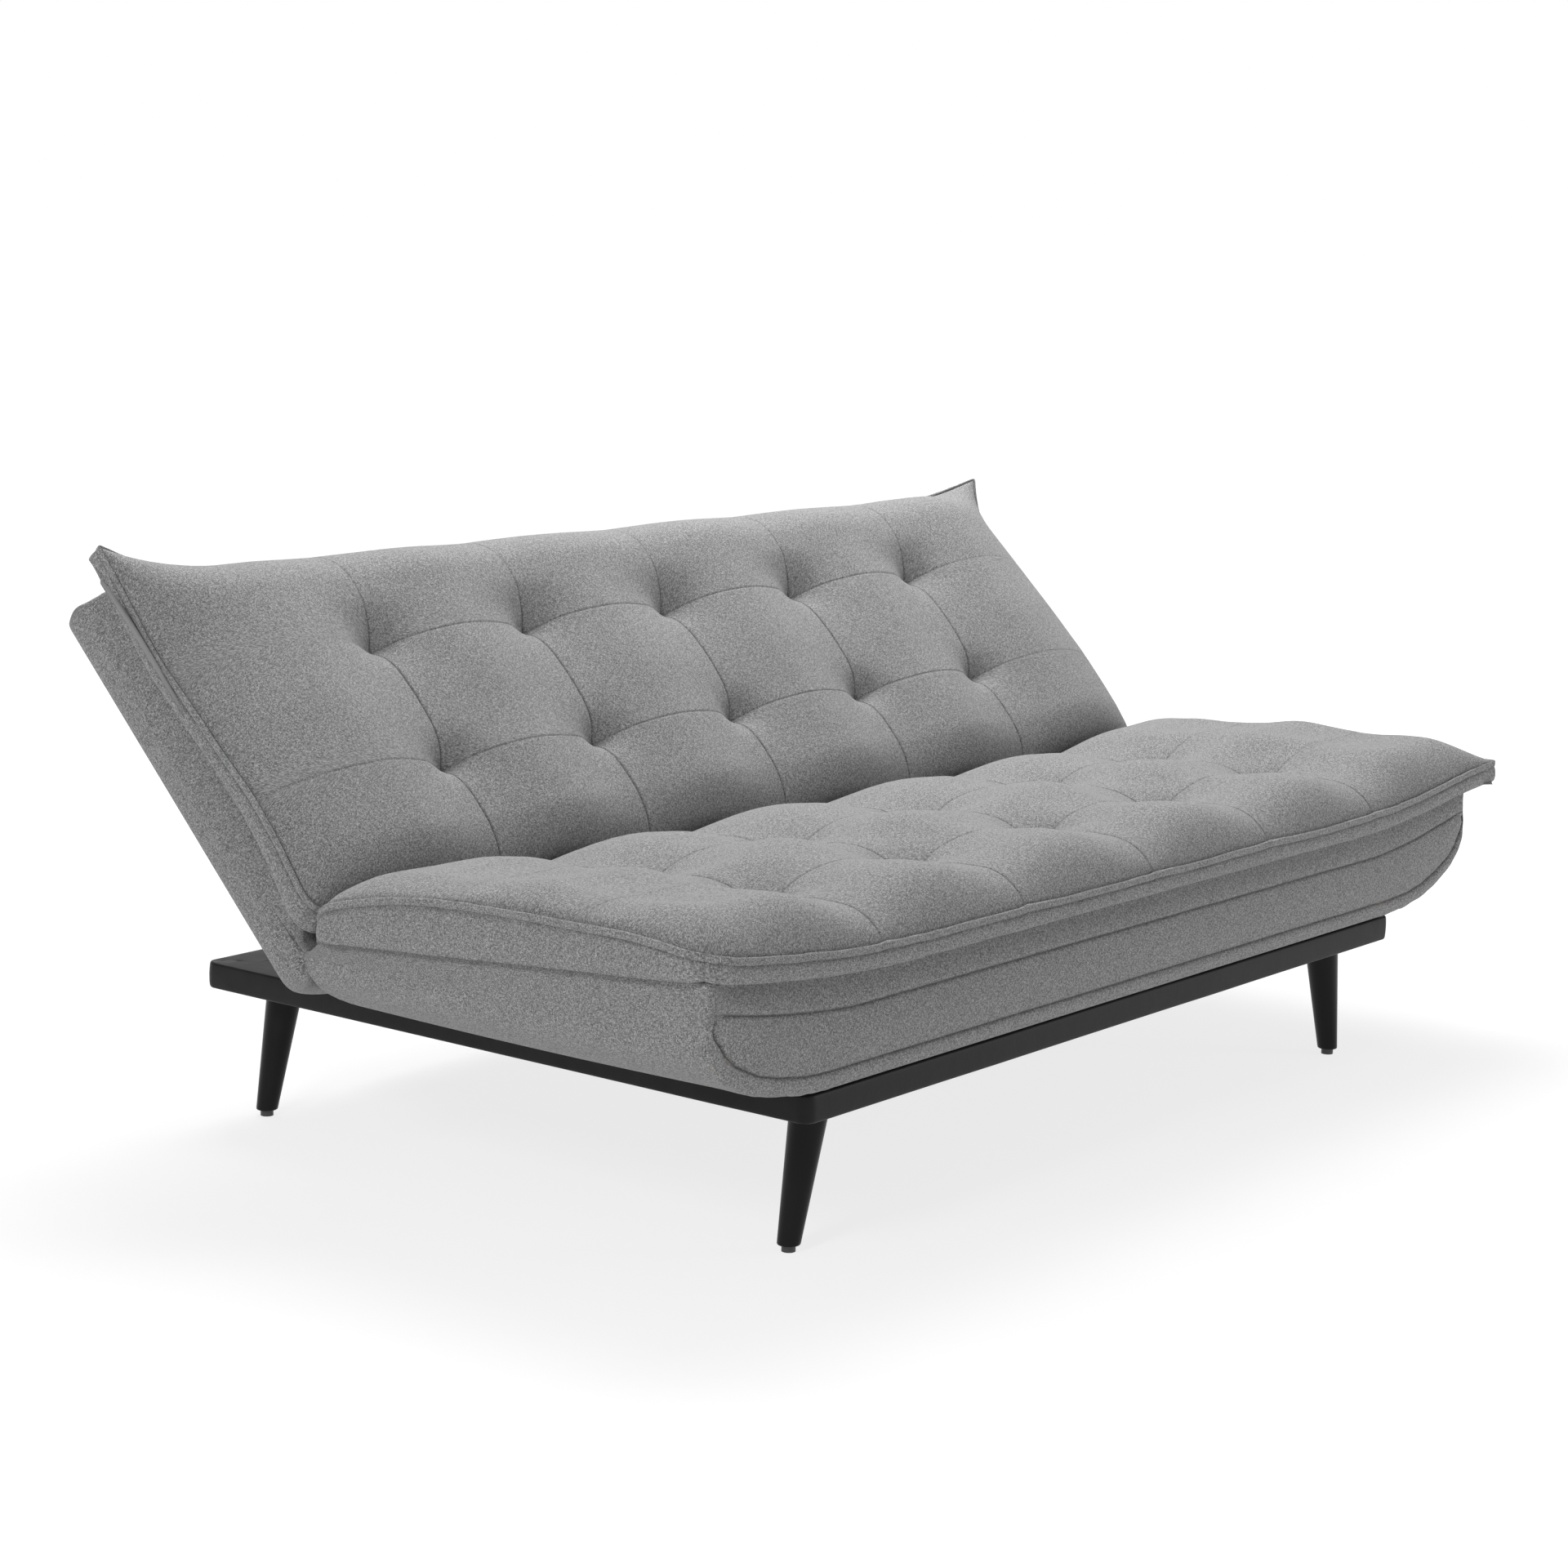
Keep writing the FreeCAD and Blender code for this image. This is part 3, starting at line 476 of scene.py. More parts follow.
def seam_strengths(pad, x, r):
    """How plainly the seams across and along the pad show at each point; some fade out on the real one."""
    if pad is SEAT:
        return np.ones_like(x), 1.0 - 0.35 * ease((np.abs(x) - 640.0) / 120.0)
    columns = 1.0 - 0.55 * ease((r - pad.rows[1] - 15.0) / 60.0)
    outer = ease((np.abs(x) - 650.0) / 60.0)
    rows = 1.0 - outer * np.where(r > pad.rows.mean(), np.where(x < 0, 0.92, 0.5), np.where(x < 0, 0.2, 0.45))
    return columns, rows


def quilted_height(pad, x, r):
    """Height of the stuffed top without its edges: valleys along the seams and a pinch at each tuft."""
    columns, rows = seam_strengths(pad, x, r)
    outer = ease((np.abs(x) - 600.0) / 200.0)
    crown = np.interp(r, pad.crown_at, pad.crown) + pad.outer * outer
    height = crown - pad.valleys[0] * columns * valley(nearest(x, COLUMNS), 154.0)
    height = height - pad.valleys[1] * rows * valley(nearest(r, pad.rows), 100.0)
    for column in COLUMNS:
        for row, depth in zip(pad.rows, pad.pinch):
            away = np.hypot((x - column) / 1.2, (r - row) / 0.85)
            height -= depth * np.exp(-(np.maximum(away - 3.0, 0.0) / pad.pinch_size) ** 1.25)
    return height


def edge_fall(pad, x, r):
    """1 inside the pad, falling to 0 at its edge as a stuffed edge does."""
    end = unit((np.abs(x) - (pad.half_length - pad.end_band)) / pad.end_band)
    far = unit((r - (pad.reach - pad.far_band)) / pad.far_band)
    near = unit((pad.near + pad.near_band - r) / pad.near_band)
    return (1 - end ** 2) ** 0.62 * (1 - far ** 2) ** 0.65 * (1 - near ** 2) ** (1.0 if pad is SEAT else 0.7)


def corner_pull(pad, x, r):
    """How far each point is drawn towards the pad's sewn corners: ears, and one rounded corner."""
    pull = np.zeros(x.shape + (3,))
    ears = {
        "seat_quilt": [(1, (40.0, 8.0, 0.0), 95.0), (-1, (-13.0, -15.0, 0.0), 46.0)],
        "back_quilt": [(1, (30.0, 6.0, 36.0), 105.0), (-1, (44.0, 8.0, 64.0), 155.0)],
    }[pad.name]
    for side, (out, forward, up), size in ears:
        from_end = unit((pad.half_length - side * x) / size)
        from_far = unit((pad.reach - r) / size)
        weight = (1 - from_end) ** 2 * (1 - from_far) ** 2
        lift = (1 - from_end) ** 1.6 * (1 - from_far) ** 1.6
        pull[..., 0] += side * out * weight
        pull[..., 1] += forward * weight
        pull[..., 2] += up * lift
    for side in (1, -1):
        from_end = unit((pad.half_length - side * x) / 44.0)
        from_near = unit((r - pad.near) / 44.0)
        weight = (1 - from_end) ** 2 * (1 - from_near) ** 2
        pull[..., 0] -= side * 13.0 * weight
        pull[..., 1] += 12.0 * weight
    return pull


def stations(low, high, seams, bands, step, edge_count, seam_offsets):
    """Where the grid lines run: even inside, gathered at the seams and round the edges."""
    values = []
    for end, side, band in ((low, 1, bands[0]), (high, -1, bands[1])):
        angles = np.linspace(0.0, math.pi / 2, edge_count)
        values += list(end + side * band * (1 - np.sin(angles)))
    inside = np.linspace(low + bands[0], high - bands[1], int((high - low - sum(bands)) / step) + 1)
    for value in inside:
        if min(abs(value - seam) for seam in seams) > seam_offsets[-1] + 0.4 * step:
            values.append(value)
    for seam in seams:
        values += [seam + sign * offset for offset in seam_offsets for sign in (1, -1)]
    values = np.unique(np.round(values, 3))
    keep = [values[0]]
    for value in values[1:-1]:
        close_to_seam = min(abs(value - seam) for seam in seams) < 0.01
        if value - keep[-1] >= 0.6 or close_to_seam:
            keep.append(value)
    return np.array(keep + [values[-1]])


def pad_surface(pad, xs, rs):
    """The pad's top before it settles, as a grid of points."""
    x, r = np.meshgrid(xs, rs, indexing="ij")
    lip = lip_height(pad, x, r)
    fall = edge_fall(pad, x, r)
    height = lip + (quilted_height(pad, x, r) - lip) * fall
    points = np.stack((x, r, height), axis=-1)
    return points + corner_pull(pad, x, r), fall


CLOTH = {
    "quality": 6, "mass": 0.3, "air_damping": 6.0, "tension_stiffness": 25.0, "compression_stiffness": 25.0,
    "shear_stiffness": 8.0, "bending_stiffness": 0.4, "tension_damping": 20.0, "vertex_group_mass": "held",
    "pin_stiffness": 1.2, "shrink_min": -0.012, "use_pressure": True, "uniform_pressure_force": 0.35,
}
CLOTH_FRAMES, CLOTH_LIMIT = 34, 7.0


def settle(pad, points, xs, rs, fall):
    """Lets the quilted top puff up as cloth, held at its edge and tufts, and returns how far it moved."""
    rows, columns = points.shape[:2]
    mesh = bpy.data.meshes.new("settling")
    quads = corners(np.arange(rows * columns).reshape(rows, columns))
    mesh.from_pydata((points.reshape(-1, 3) * MM).tolist(), [], quads.reshape(-1, 4).tolist())
    sheet = bpy.data.objects.new("settling", mesh)
    bpy.context.scene.collection.objects.link(sheet)
    x, r = np.meshgrid(xs, rs, indexing="ij")
    on_column, on_row = nearest(x, COLUMNS) < 1.0, nearest(r, pad.rows) < 1.0
    hold = np.zeros(x.shape)
    hold[on_row] = 0.3
    hold[on_column] = 0.6
    hold[on_column & on_row] = 1.0
    hold[fall < 0.35] = np.maximum(hold[fall < 0.35], 0.5)
    hold[[0, -1], :] = 1.0
    hold[:, [0, -1]] = 1.0
    group = sheet.vertex_groups.new(name="held")
    flat = hold.reshape(-1)
    for weight in np.unique(flat):
        if weight > 0:
            group.add(np.flatnonzero(flat == weight).tolist(), float(weight), "REPLACE")
    cloth = sheet.modifiers.new("cloth", "CLOTH")
    for name, value in CLOTH.items():
        setattr(cloth.settings, name, value)
    cloth.settings.effector_weights.gravity = 0.1
    cloth.collision_settings.use_collision = False
    cloth.point_cache.frame_start, cloth.point_cache.frame_end = 1, CLOTH_FRAMES
    scene = bpy.context.scene
    for moment in range(1, CLOTH_FRAMES + 1):
        scene.frame_set(moment)
    settled = sheet.evaluated_get(bpy.context.evaluated_depsgraph_get()).to_mesh()
    moved = np.zeros(rows * columns * 3, np.float32)
    settled.vertices.foreach_get("co", moved)
    bpy.data.objects.remove(sheet)
    bpy.data.meshes.remove(mesh)
    scene.frame_set(1)
    shift = moved.reshape(rows, columns, 3) / MM - points
    # The back's filling is firmer, so its cells stay smoother than the seat's.
    passes, share = (16, 0.6) if pad is BACK else (8, 0.85)
    for _ in range(passes):
        sides = shift[:-2, 1:-1] + shift[2:, 1:-1] + shift[1:-1, :-2] + shift[1:-1, 2:]
        shift[1:-1, 1:-1] = (sides + 4.0 * shift[1:-1, 1:-1]) / 8.0
    shift *= share
    size = norm(shift, axis=-1, keepdims=True)
    print("settled", pad.name, "mean", round(float(size.mean()), 2), "largest", round(float(size.max()), 2))
    return shift / np.maximum(size / CLOTH_LIMIT, 1.0)


def flange_profile(width, gap):
    """The sewn edge seen from its end: out from the folded lip's crease, down the strip and in to the box."""
    strip = max(width - 9.5, 4.0)
    lip = [(0.6, -1.6), (1.6, -0.4), (3.4, 1.4), (5.4, 1.7), (7.0, 0.5), (7.8, -1.8), (7.6, -4.6),
           (6.6, -6.8), (5.0, -8.1), (4.6, -8.8), (5.2, -9.5)]
    down = [(5.6 + 3.4 * math.sin(math.pi * t), -9.5 - strip * t) for t in (0.12, 0.3, 0.5, 0.7, 0.86)]
    foot = -9.5 - strip
    under = [(4.0, foot + 0.8), (0.0, foot), (-9.0, foot + 0.4),
             (-24.0, foot - 0.25 * gap), (-30.0, foot - gap)]
    return np.array(lip + down + under), (9, len(lip) + 4)


def quilted_pad(pad, place, material):
    """One whole pad: quilted top, folded lip, side strip and underside."""
    bands_x = (pad.end_band, pad.end_band)
    bands_r = (pad.near_band, pad.far_band)
    fine_seam = (0.0, 1.1, 2.2, 3.6, 5.6, 8.5)
    xs = stations(-pad.half_length, pad.half_length, COLUMNS, bands_x, 7.0, 17, fine_seam)
    rs = stations(pad.near, pad.reach, pad.rows, bands_r, 7.0, 19, fine_seam)
    points, fall = pad_surface(pad, xs, rs)
    x, r = np.meshgrid(xs, rs, indexing="ij")
    coarse_x = stations(-pad.half_length, pad.half_length, COLUMNS, bands_x, 15.0, 6, (0.0,))
    coarse_r = stations(pad.near, pad.reach, pad.rows, bands_r, 15.0, 7, (0.0,))
    start, coarse_fall = pad_surface(pad, coarse_x, coarse_r)
    shift = settle(pad, start, coarse_x, coarse_r, coarse_fall)
    shift = hermite(coarse_x, shift, xs)
    shift = np.swapaxes(hermite(coarse_r, np.swapaxes(shift, 0, 1), rs), 0, 1)
    points = points + shift * unit(fall * 3.0)[..., None]

    seed = 3 if pad is SEAT else 8
    inside = unit(fall * 2.0)
    unevenness = 1.3 * value_noise(120.0, x, r, seed) + 0.4 * value_noise(46.0, x, r, seed + 1)
    points[..., 2] += inside * unevenness
    column_seam = np.zeros_like(x)
    for column in COLUMNS:
        column_seam = np.maximum(column_seam, hump(x - column, 1.5))
    row_seam = np.zeros_like(x)
    for row in pad.rows:
        row_seam = np.maximum(row_seam, hump(r - row, 1.4))
        for column in COLUMNS:
            dx, dr = x - column, r - row
            points[..., 2] -= 4.0 * np.exp(-(dx / 40.0) ** 2 - (dr / 11.0) ** 2)
            fold = np.cos(dx / 8.5 + column) * np.exp(-np.abs(dx) / 34.0 - np.abs(dr) / 26.0)
            points[..., 2] += 0.7 * fold * (1 - hump(np.hypot(dx, dr), 7.0))
    columns, rows = seam_strengths(pad, x, r)
    column_seam, row_seam = column_seam * columns, row_seam * rows
    points[..., 2] -= inside * (1.7 * column_seam + 0.9 * row_seam)
    # Painted shade in the seam grooves across and along the pad, kept off its edges.
    marks = np.maximum(0.85 * column_seam, 0.5 * row_seam) * unit(fall * 4)

    shell = Shell()
    top = shell.add(points, marks)
    middle_x, middle_r = np.argmin(np.abs(xs)), np.argmin(np.abs(rs - pad.rows.mean()))
    along_x = np.concatenate((np.zeros((1, len(rs))),
                              np.cumsum(norm(np.diff(points, axis=0), axis=2), axis=0)))
    along_r = np.concatenate((np.zeros((len(xs), 1)),
                              np.cumsum(norm(np.diff(points, axis=1), axis=2), axis=1)), axis=1)
    weave = np.stack((along_x - along_x[middle_x:middle_x + 1],
                      along_r - along_r[:, middle_r:middle_r + 1]), -1)
    shell.patch(top, weave)

    # The rim runs round the top: far edge, right end, near edge, left end.
    rim = np.concatenate((top[:, -1], top[-1, -2::-1], top[-2::-1, 0], top[0, 1:-1]))
    edge, flat_x, flat_r = points.reshape(-1, 3)[rim], x.reshape(-1)[rim], r.reshape(-1)[rim]
    outward = left_normals(edge[:, :2])
    for _ in range(3):
        outward = (np.roll(outward, 1, axis=0) + outward * 2 + np.roll(outward, -1, axis=0)) / 4
    outward /= norm(outward, axis=1, keepdims=True)
    around = steps(np.vstack((edge, edge[:1])))
    share = around[:-1]
    lift = 1.1 * value_noise(90.0, share, seed, seed + 4) + 0.5 * value_noise(23.0, share, 0, seed)
    puff = 0.8 * value_noise(60.0, share, 9, seed + 6)
    kink = np.zeros(len(rim))
    on_far = flat_r > pad.reach - 0.01
    for column in COLUMNS:
        kink += on_far * hump(flat_x - column, 8.0)
        lift += on_far * 1.2 * (ease((flat_x - column + 14.0) / 20.0) - ease((flat_x - column - 6.0) / 90.0))
    ear = norm(corner_pull(pad, flat_x, flat_r)[:, :2], axis=1)
    width = lip_height(pad, flat_x, flat_r) - foot_height(pad, flat_x, flat_r)
    gap = np.maximum(foot_height(pad, flat_x, flat_r) - rest_height(pad, flat_x, flat_r), 0.0)
    rings, ring_weave, ring_marks = [edge], [np.column_stack((share, share * 0))], [np.zeros(len(rim))]
    reference, creases = flange_profile(30.0, 0.0)
    for level in range(len(reference)):
        out, down = np.array([flange_profile(*sizes)[0][level] for sizes in zip(width, gap)]).T
        thin = np.clip(1 - ear / 60.0, 0.35, 1.0)
        step_out = out * (1 + 0.18 * kink) * np.where(out > 0, thin, 1.0) + puff * (level > 10)
        wrinkle = 0.9 * value_noise(17.0, share, level * 4.0, seed + 2) * (9 < level < 17)
        ring = edge.copy()
        ring[:, :2] += outward * (step_out + wrinkle)[:, None]
        fixed = ease(-down / np.maximum(width, 1.0))
        ring[:, 2] += down + (lift + 1.2 * kink) * (1 - fixed)
        rings.append(ring)
        drop = ring_weave[-1][:, 1] - norm(ring - rings[-2], axis=1)
        ring_weave.append(np.column_stack((share, drop)))
        # Painted shade in the crease where the top turns into the lip and in the stitched crease under the
        # lip.
        ring_marks.append(np.full(len(rim), {creases[0]: 0.75, creases[0] + 1: 0.4, 0: 0.8}.get(level, 0.0)))
    numbers = [rim]
    for ring, mark in zip(rings[1:], ring_marks[1:]):
        numbers.append(shell.add(ring, mark))
    numbers = np.array(numbers)
    numbers = np.hstack((numbers, numbers[:, :1]))
    shell.patch(numbers, np.array([np.vstack((one, [[around[-1], one[0, 1]]])) for one in ring_weave]))

    # The underside: strips from the far edge to the near edge, and one face at each end.
    count_x, count_r = len(xs), len(rs)
    last = numbers[-1][:-1]
    far = last[:count_x]
    right = last[count_x - 1:count_x + count_r - 1]
    near = last[count_x + count_r - 2:2 * count_x + count_r - 2][::-1]
    left = np.concatenate((last[2 * count_x + count_r - 3:], last[:1]))
    under = np.array([near[1:-1], far[1:-1]])
    flat = np.stack(np.meshgrid([pad.near, pad.reach], xs[1:-1], indexing="ij")[::-1], axis=-1)
    shell.patch(under, flat)
    for ring, extra in ((right, (near[-2], far[-2])), (left, (far[1], near[1]))):
        loop = list(ring) + list(extra)
        shell.cap(loop, np.zeros((len(loop), 2)))
    return shell.make(pad.name, place, material)


seat_quilt = quilted_pad(SEAT, place_seat, FINISHES["grey_fabric"])
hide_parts("seat_pad")
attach(seat_quilt, "seat")

back_quilt = quilted_pad(BACK, place_back, FINISHES["grey_fabric"])
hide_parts("back_pad")
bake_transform(back_quilt)


# ---- seat box

BOX_END, BOX_FLAT, BOX_BOTTOM = 940.0, 696.0, -78.0


def boat_outline(bilge, top, count_end, count_curve, count_flat):
    """The box seen from the front: down the left end, round the curved bottom and up the right end."""
    end = np.linspace(top, bilge, count_end, endpoint=False)
    angles = np.linspace(math.pi / 2, 0.0, count_curve, endpoint=False)
    rise = bilge - BOX_BOTTOM
    curve_x = BOX_FLAT + (BOX_END - BOX_FLAT) * np.sin(angles)
    curve_h = bilge - rise * np.cos(angles)
    flat = np.linspace(-BOX_FLAT, 0.0, count_flat)
    left = np.concatenate((np.column_stack((np.full(count_end, -BOX_END), end)),
                           np.column_stack((-curve_x, curve_h)),
                           np.column_stack((flat, np.full(count_flat, BOX_BOTTOM)))))
    right = left[-2::-1] * (-1, 1)
    return np.vstack((left, right))


def box_top(x, r):
    """Top edge of the seat box, just under the pad, falling away at the rear."""
    return foot_height(SEAT, x, r) + 2.0 - 20.0 * ease((78.0 - r) / 34.0)


def upper_seam(x):
    """The line along the front where the lower panel starts."""
    return 19.0 + 39.0 * unit((np.abs(x) - 640.0) / 300.0) ** 1.6


def seat_box(material):
    """The upholstered box under the seat: a curved shell with a seamed front panel."""
    shell = Shell()
    front, rear, heel = 698.0, 43.0, 60.0
    rounding, recess, dip = 25.0, 13.0, 5.0
    corner = box_top(np.array([BOX_END]), np.array([front]))[0]
    bilge = 23.0
    outline = boat_outline(bilge, corner, 22, 46, 90)
    count = len(outline)
    run = np.gradient(outline, axis=0)
    run /= norm(run, axis=1, keepdims=True)
    inward = np.column_stack((-run[:, 1], run[:, 0]))
    if inward[count // 2, 1] < 0:
        inward = -inward
    around = steps(outline)
    # The front edge is rounded along the bottom and nearly square up the ends.
    soft = 14.0 - 5.0 * ease((60.0 - outline[:, 1]) / 25.0)
    band = 24.0 * ease((62.0 - outline[:, 1]) / 60.0)
    # The top edge runs between the same two corners, spread to match the outline's points.
    ends = around[np.argmax(outline[:, 0] > -BOX_FLAT + 1)]
    top_x = np.interp(around, [0, ends, around[-1] - ends, around[-1]],
                      [-BOX_END, -BOX_FLAT, BOX_FLAT, BOX_END])

    angles = np.linspace(0.0, math.pi / 2, 9)
    rs = [front - rounding + rounding * math.cos(angle) for angle in angles]
    insets = [1.0 - math.sin(angle) for angle in angles]
    rs += list(np.linspace(front - 36.0, rear + heel, 54))
    insets += [0.0] * 54
    turn = np.linspace(0.0, math.pi / 2, 12)[1:]
    rs += [rear + heel - heel * math.sin(angle) for angle in turn]
    insets += [0.0] * len(turn)
    rs, insets = np.array(rs), np.array(insets)

    loops = []
    for r, inset in zip(rs, insets):
        top = box_top(outline[:, 0], np.full(count, r))
        scale = unit((outline[:, 1] - bilge) / (corner - bilge))
        low = outline.copy()
        low[:, 1] += scale * (top - corner)
        low += inward * (soft * inset)[:, None]
        depth_in = np.full(count, r)
        if r > front - rounding:
            depth_in = front - soft + (r - (front - rounding)) * soft / rounding
        if r < rear + heel:
            rise = BOX_BOTTOM + heel - math.sqrt(max(heel ** 2 - (rear + heel - r) ** 2, 0.0))
            low[:, 1] = np.maximum(low[:, 1], rise)
        belly = 3.0 * np.sin(math.pi * unit((front - r) / (front - rear)))
        outer = ease((np.abs(outline[:, 0]) - 650.0) / 200.0)
        low -= inward * (belly * outer * (1 - inset))[:, None]
        pucker = 1.3 * value_noise(13.0, around, r * 0.25, 21)
        fade = hump(front - 14.0 - depth_in, 26.0) * ease((np.abs(outline[:, 0]) - 640.0) / 120.0)
        low -= inward * (pucker * fade)[:, None]
        bottom = np.column_stack((low[:, 0], depth_in, low[:, 1]))
        # The strip under the pad sits back from the front, less so near the ends.
        back = recess * inset * ease((BOX_END - np.abs(top_x)) / 60.0)
        top_points = np.column_stack((top_x, r - back, box_top(top_x, np.full(count, r)) - dip * inset))
        top_points[0], top_points[-1] = bottom[0], bottom[-1]
        loops.append((bottom, top_points))

    bottoms = shell.add(np.array([pair[0] for pair in loops]))
    tops = shell.add(np.array([pair[1] for pair in loops]))
    lows = np.array([pair[0] for pair in loops])
    run_back = np.cumsum(norm(np.diff(lows, axis=0, prepend=lows[:1]), axis=2), axis=0)
    # The cloth runs level along the ends, so its threads follow the sofa's depth.
    wrap = np.stack((run_back, np.broadcast_to(around, bottoms.shape)), axis=-1)
    shell.patch(bottoms, wrap)
    shell.patch(tops, wrap)
    shell.patch(np.array([bottoms[-1], tops[-1]]),
                np.stack((np.broadcast_to(top_x, (2, count)),
                          np.broadcast_to([[0.0], [60.0]], (2, count))), axis=-1))

    # The front: a lower panel up to its seam, then a strip that tucks under the pad.
    low, high = loops[0]
    seam_h = upper_seam(top_x)
    above = low[:, 2] >= seam_h
    seam_x, seam_h = np.where(above, low[:, 0], top_x), np.where(above, low[:, 2], seam_h)
    seam = np.column_stack((seam_x, np.full(count, front), seam_h))
    # Painted shade in the grooves of the front panel's seams, carried by the seam attribute.
    rows, row_marks = [], []
    panel = low.copy()
    panel[:, [0, 2]] += inward * (band - soft).clip(0)[:, None]
    panel[:, 2] = np.minimum(panel[:, 2], seam_h)
    for t in (0.0, 0.1, 0.22, 0.38, 0.55, 0.72, 0.84, 0.92):
        row = low * (1 - t) + panel * t
        wide = norm(panel - low, axis=1)
        row[:, 1] += 2.6 * math.sin(math.pi * t ** 0.8) * unit(wide / 14.0)
        row[:, 1] -= 2.2 * hump((1 - t) * wide, 1.8) * (wide > 3)
        rows.append(row)
        row_marks.append(np.where(wide > 3, 0.9 * hump((1 - t) * wide, 1.5), 0.0))
    for t in (0.0, 0.012, 0.03, 0.06, 0.12, 0.22, 0.36, 0.5, 0.64, 0.78, 0.88, 0.94, 0.97, 0.988, 1.0):
        row = panel * (1 - t) + seam * t
        height = np.abs(seam_h - panel[:, 2])
        reach = np.minimum(t, 1 - t) * height
        row[:, 1] += 4.5 * np.sin(math.pi * t) * unit(height / 50.0)
        row[:, 1] -= 2.4 * hump(reach, 1.6) * (height > 3)
        rows.append(row)
        row_marks.append(np.where(height > 3, 0.95 * hump(reach, 1.5), 0.0))
    for t in (0.03, 0.08, 0.18, 0.34, 0.5, 0.66, 0.82, 0.93):
        row = seam * (1 - t) + high * t
        height = np.abs(high[:, 2] - seam_h)
        row[:, 1] += (2.6 * math.sin(math.pi * min(t * 1.2, 1.0))) * unit(height / 30.0)
        row[:, 1] -= 2.4 * hump(t * height, 1.6)
        rows.append(row)
        row_marks.append(0.95 * hump(t * height, 1.5))
    rows = np.array(rows)
    ripple = 0.9 * value_noise(70.0, rows[..., 0], rows[..., 2] * 0.5, 31)
    ripple += 0.5 * value_noise(24.0, rows[..., 0], rows[..., 2] * 0.3, 33)
    rows[1:, :, 1] += ripple[1:]
    inner = shell.add(rows[1:], np.array(row_marks)[1:])
    numbers = np.vstack((bottoms[:1], inner, tops[:1]))
    spread = np.vstack((rows, high[None]))
    shell.patch(numbers, np.stack((spread[..., 0], spread[..., 2]), axis=-1))
    return shell.make("seat_box", place_seat, material)


seat_box_piece = seat_box(FINISHES["grey_fabric"])
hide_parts("seat_cover", "seat_foam")
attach(seat_box_piece, "seat")


# ---- back box

def back_section():
    """The back box seen from its end: along the rear, over the top, down the front, round the rolled end."""
    roll_r, depth, far, top, edge = 40.0, 78.0, 574.0, 66.0, 22.0
    turn = math.radians(52.0)
    small = 6.0
    rear_far = far - 0.5
    points = [(r, -depth) for r in np.linspace(0.0, rear_far - small, 62, endpoint=False)]
    for angle in np.linspace(-math.pi / 2, 0.0, 7, endpoint=False):
        points.append((rear_far - small + small * math.cos(angle), -depth + small + small * math.sin(angle)))
    for t in np.linspace(0.0, 1.0, 14, endpoint=False):
        swell = 7.0 * math.sin(math.pi * t)
        points.append((rear_far + 0.5 * t + swell, -depth + small + (top - edge + depth - small) * t))
    for angle in np.linspace(0.0, math.pi / 2, 9, endpoint=False):
        points.append((far - edge + edge * math.cos(angle), top - edge + edge * math.sin(angle)))
    start = top / math.tan(turn) + 10.0
    points += [(r, top) for r in np.linspace(far - edge, start, 50, endpoint=False)]
    begin = math.radians(70.0)
    lean_r, lean_h = roll_r * math.cos(begin), roll_r * math.sin(begin)
    for t in np.linspace(0.0, 1.0, 9, endpoint=False):
        u = 1 - t
        points.append((u * u * start + 2 * u * t * 42.0 + t * t * lean_r,
                       u * u * top + 2 * u * t * (top - 8.0) + t * t * lean_h))
    # The rolled end is round above the hinge line and deeper below it.
    for angle in np.linspace(begin, 1.5 * math.pi, 30, endpoint=False):
        rise = roll_r if angle < math.pi else depth
        points.append((roll_r * math.cos(angle), rise * math.sin(angle)))
    return np.array(points)


def tucked(height):
    """How far the end of the back box draws in towards its pad, from 0 to 1."""
    return ease((height + 14.0) / 80.0) ** 1.3


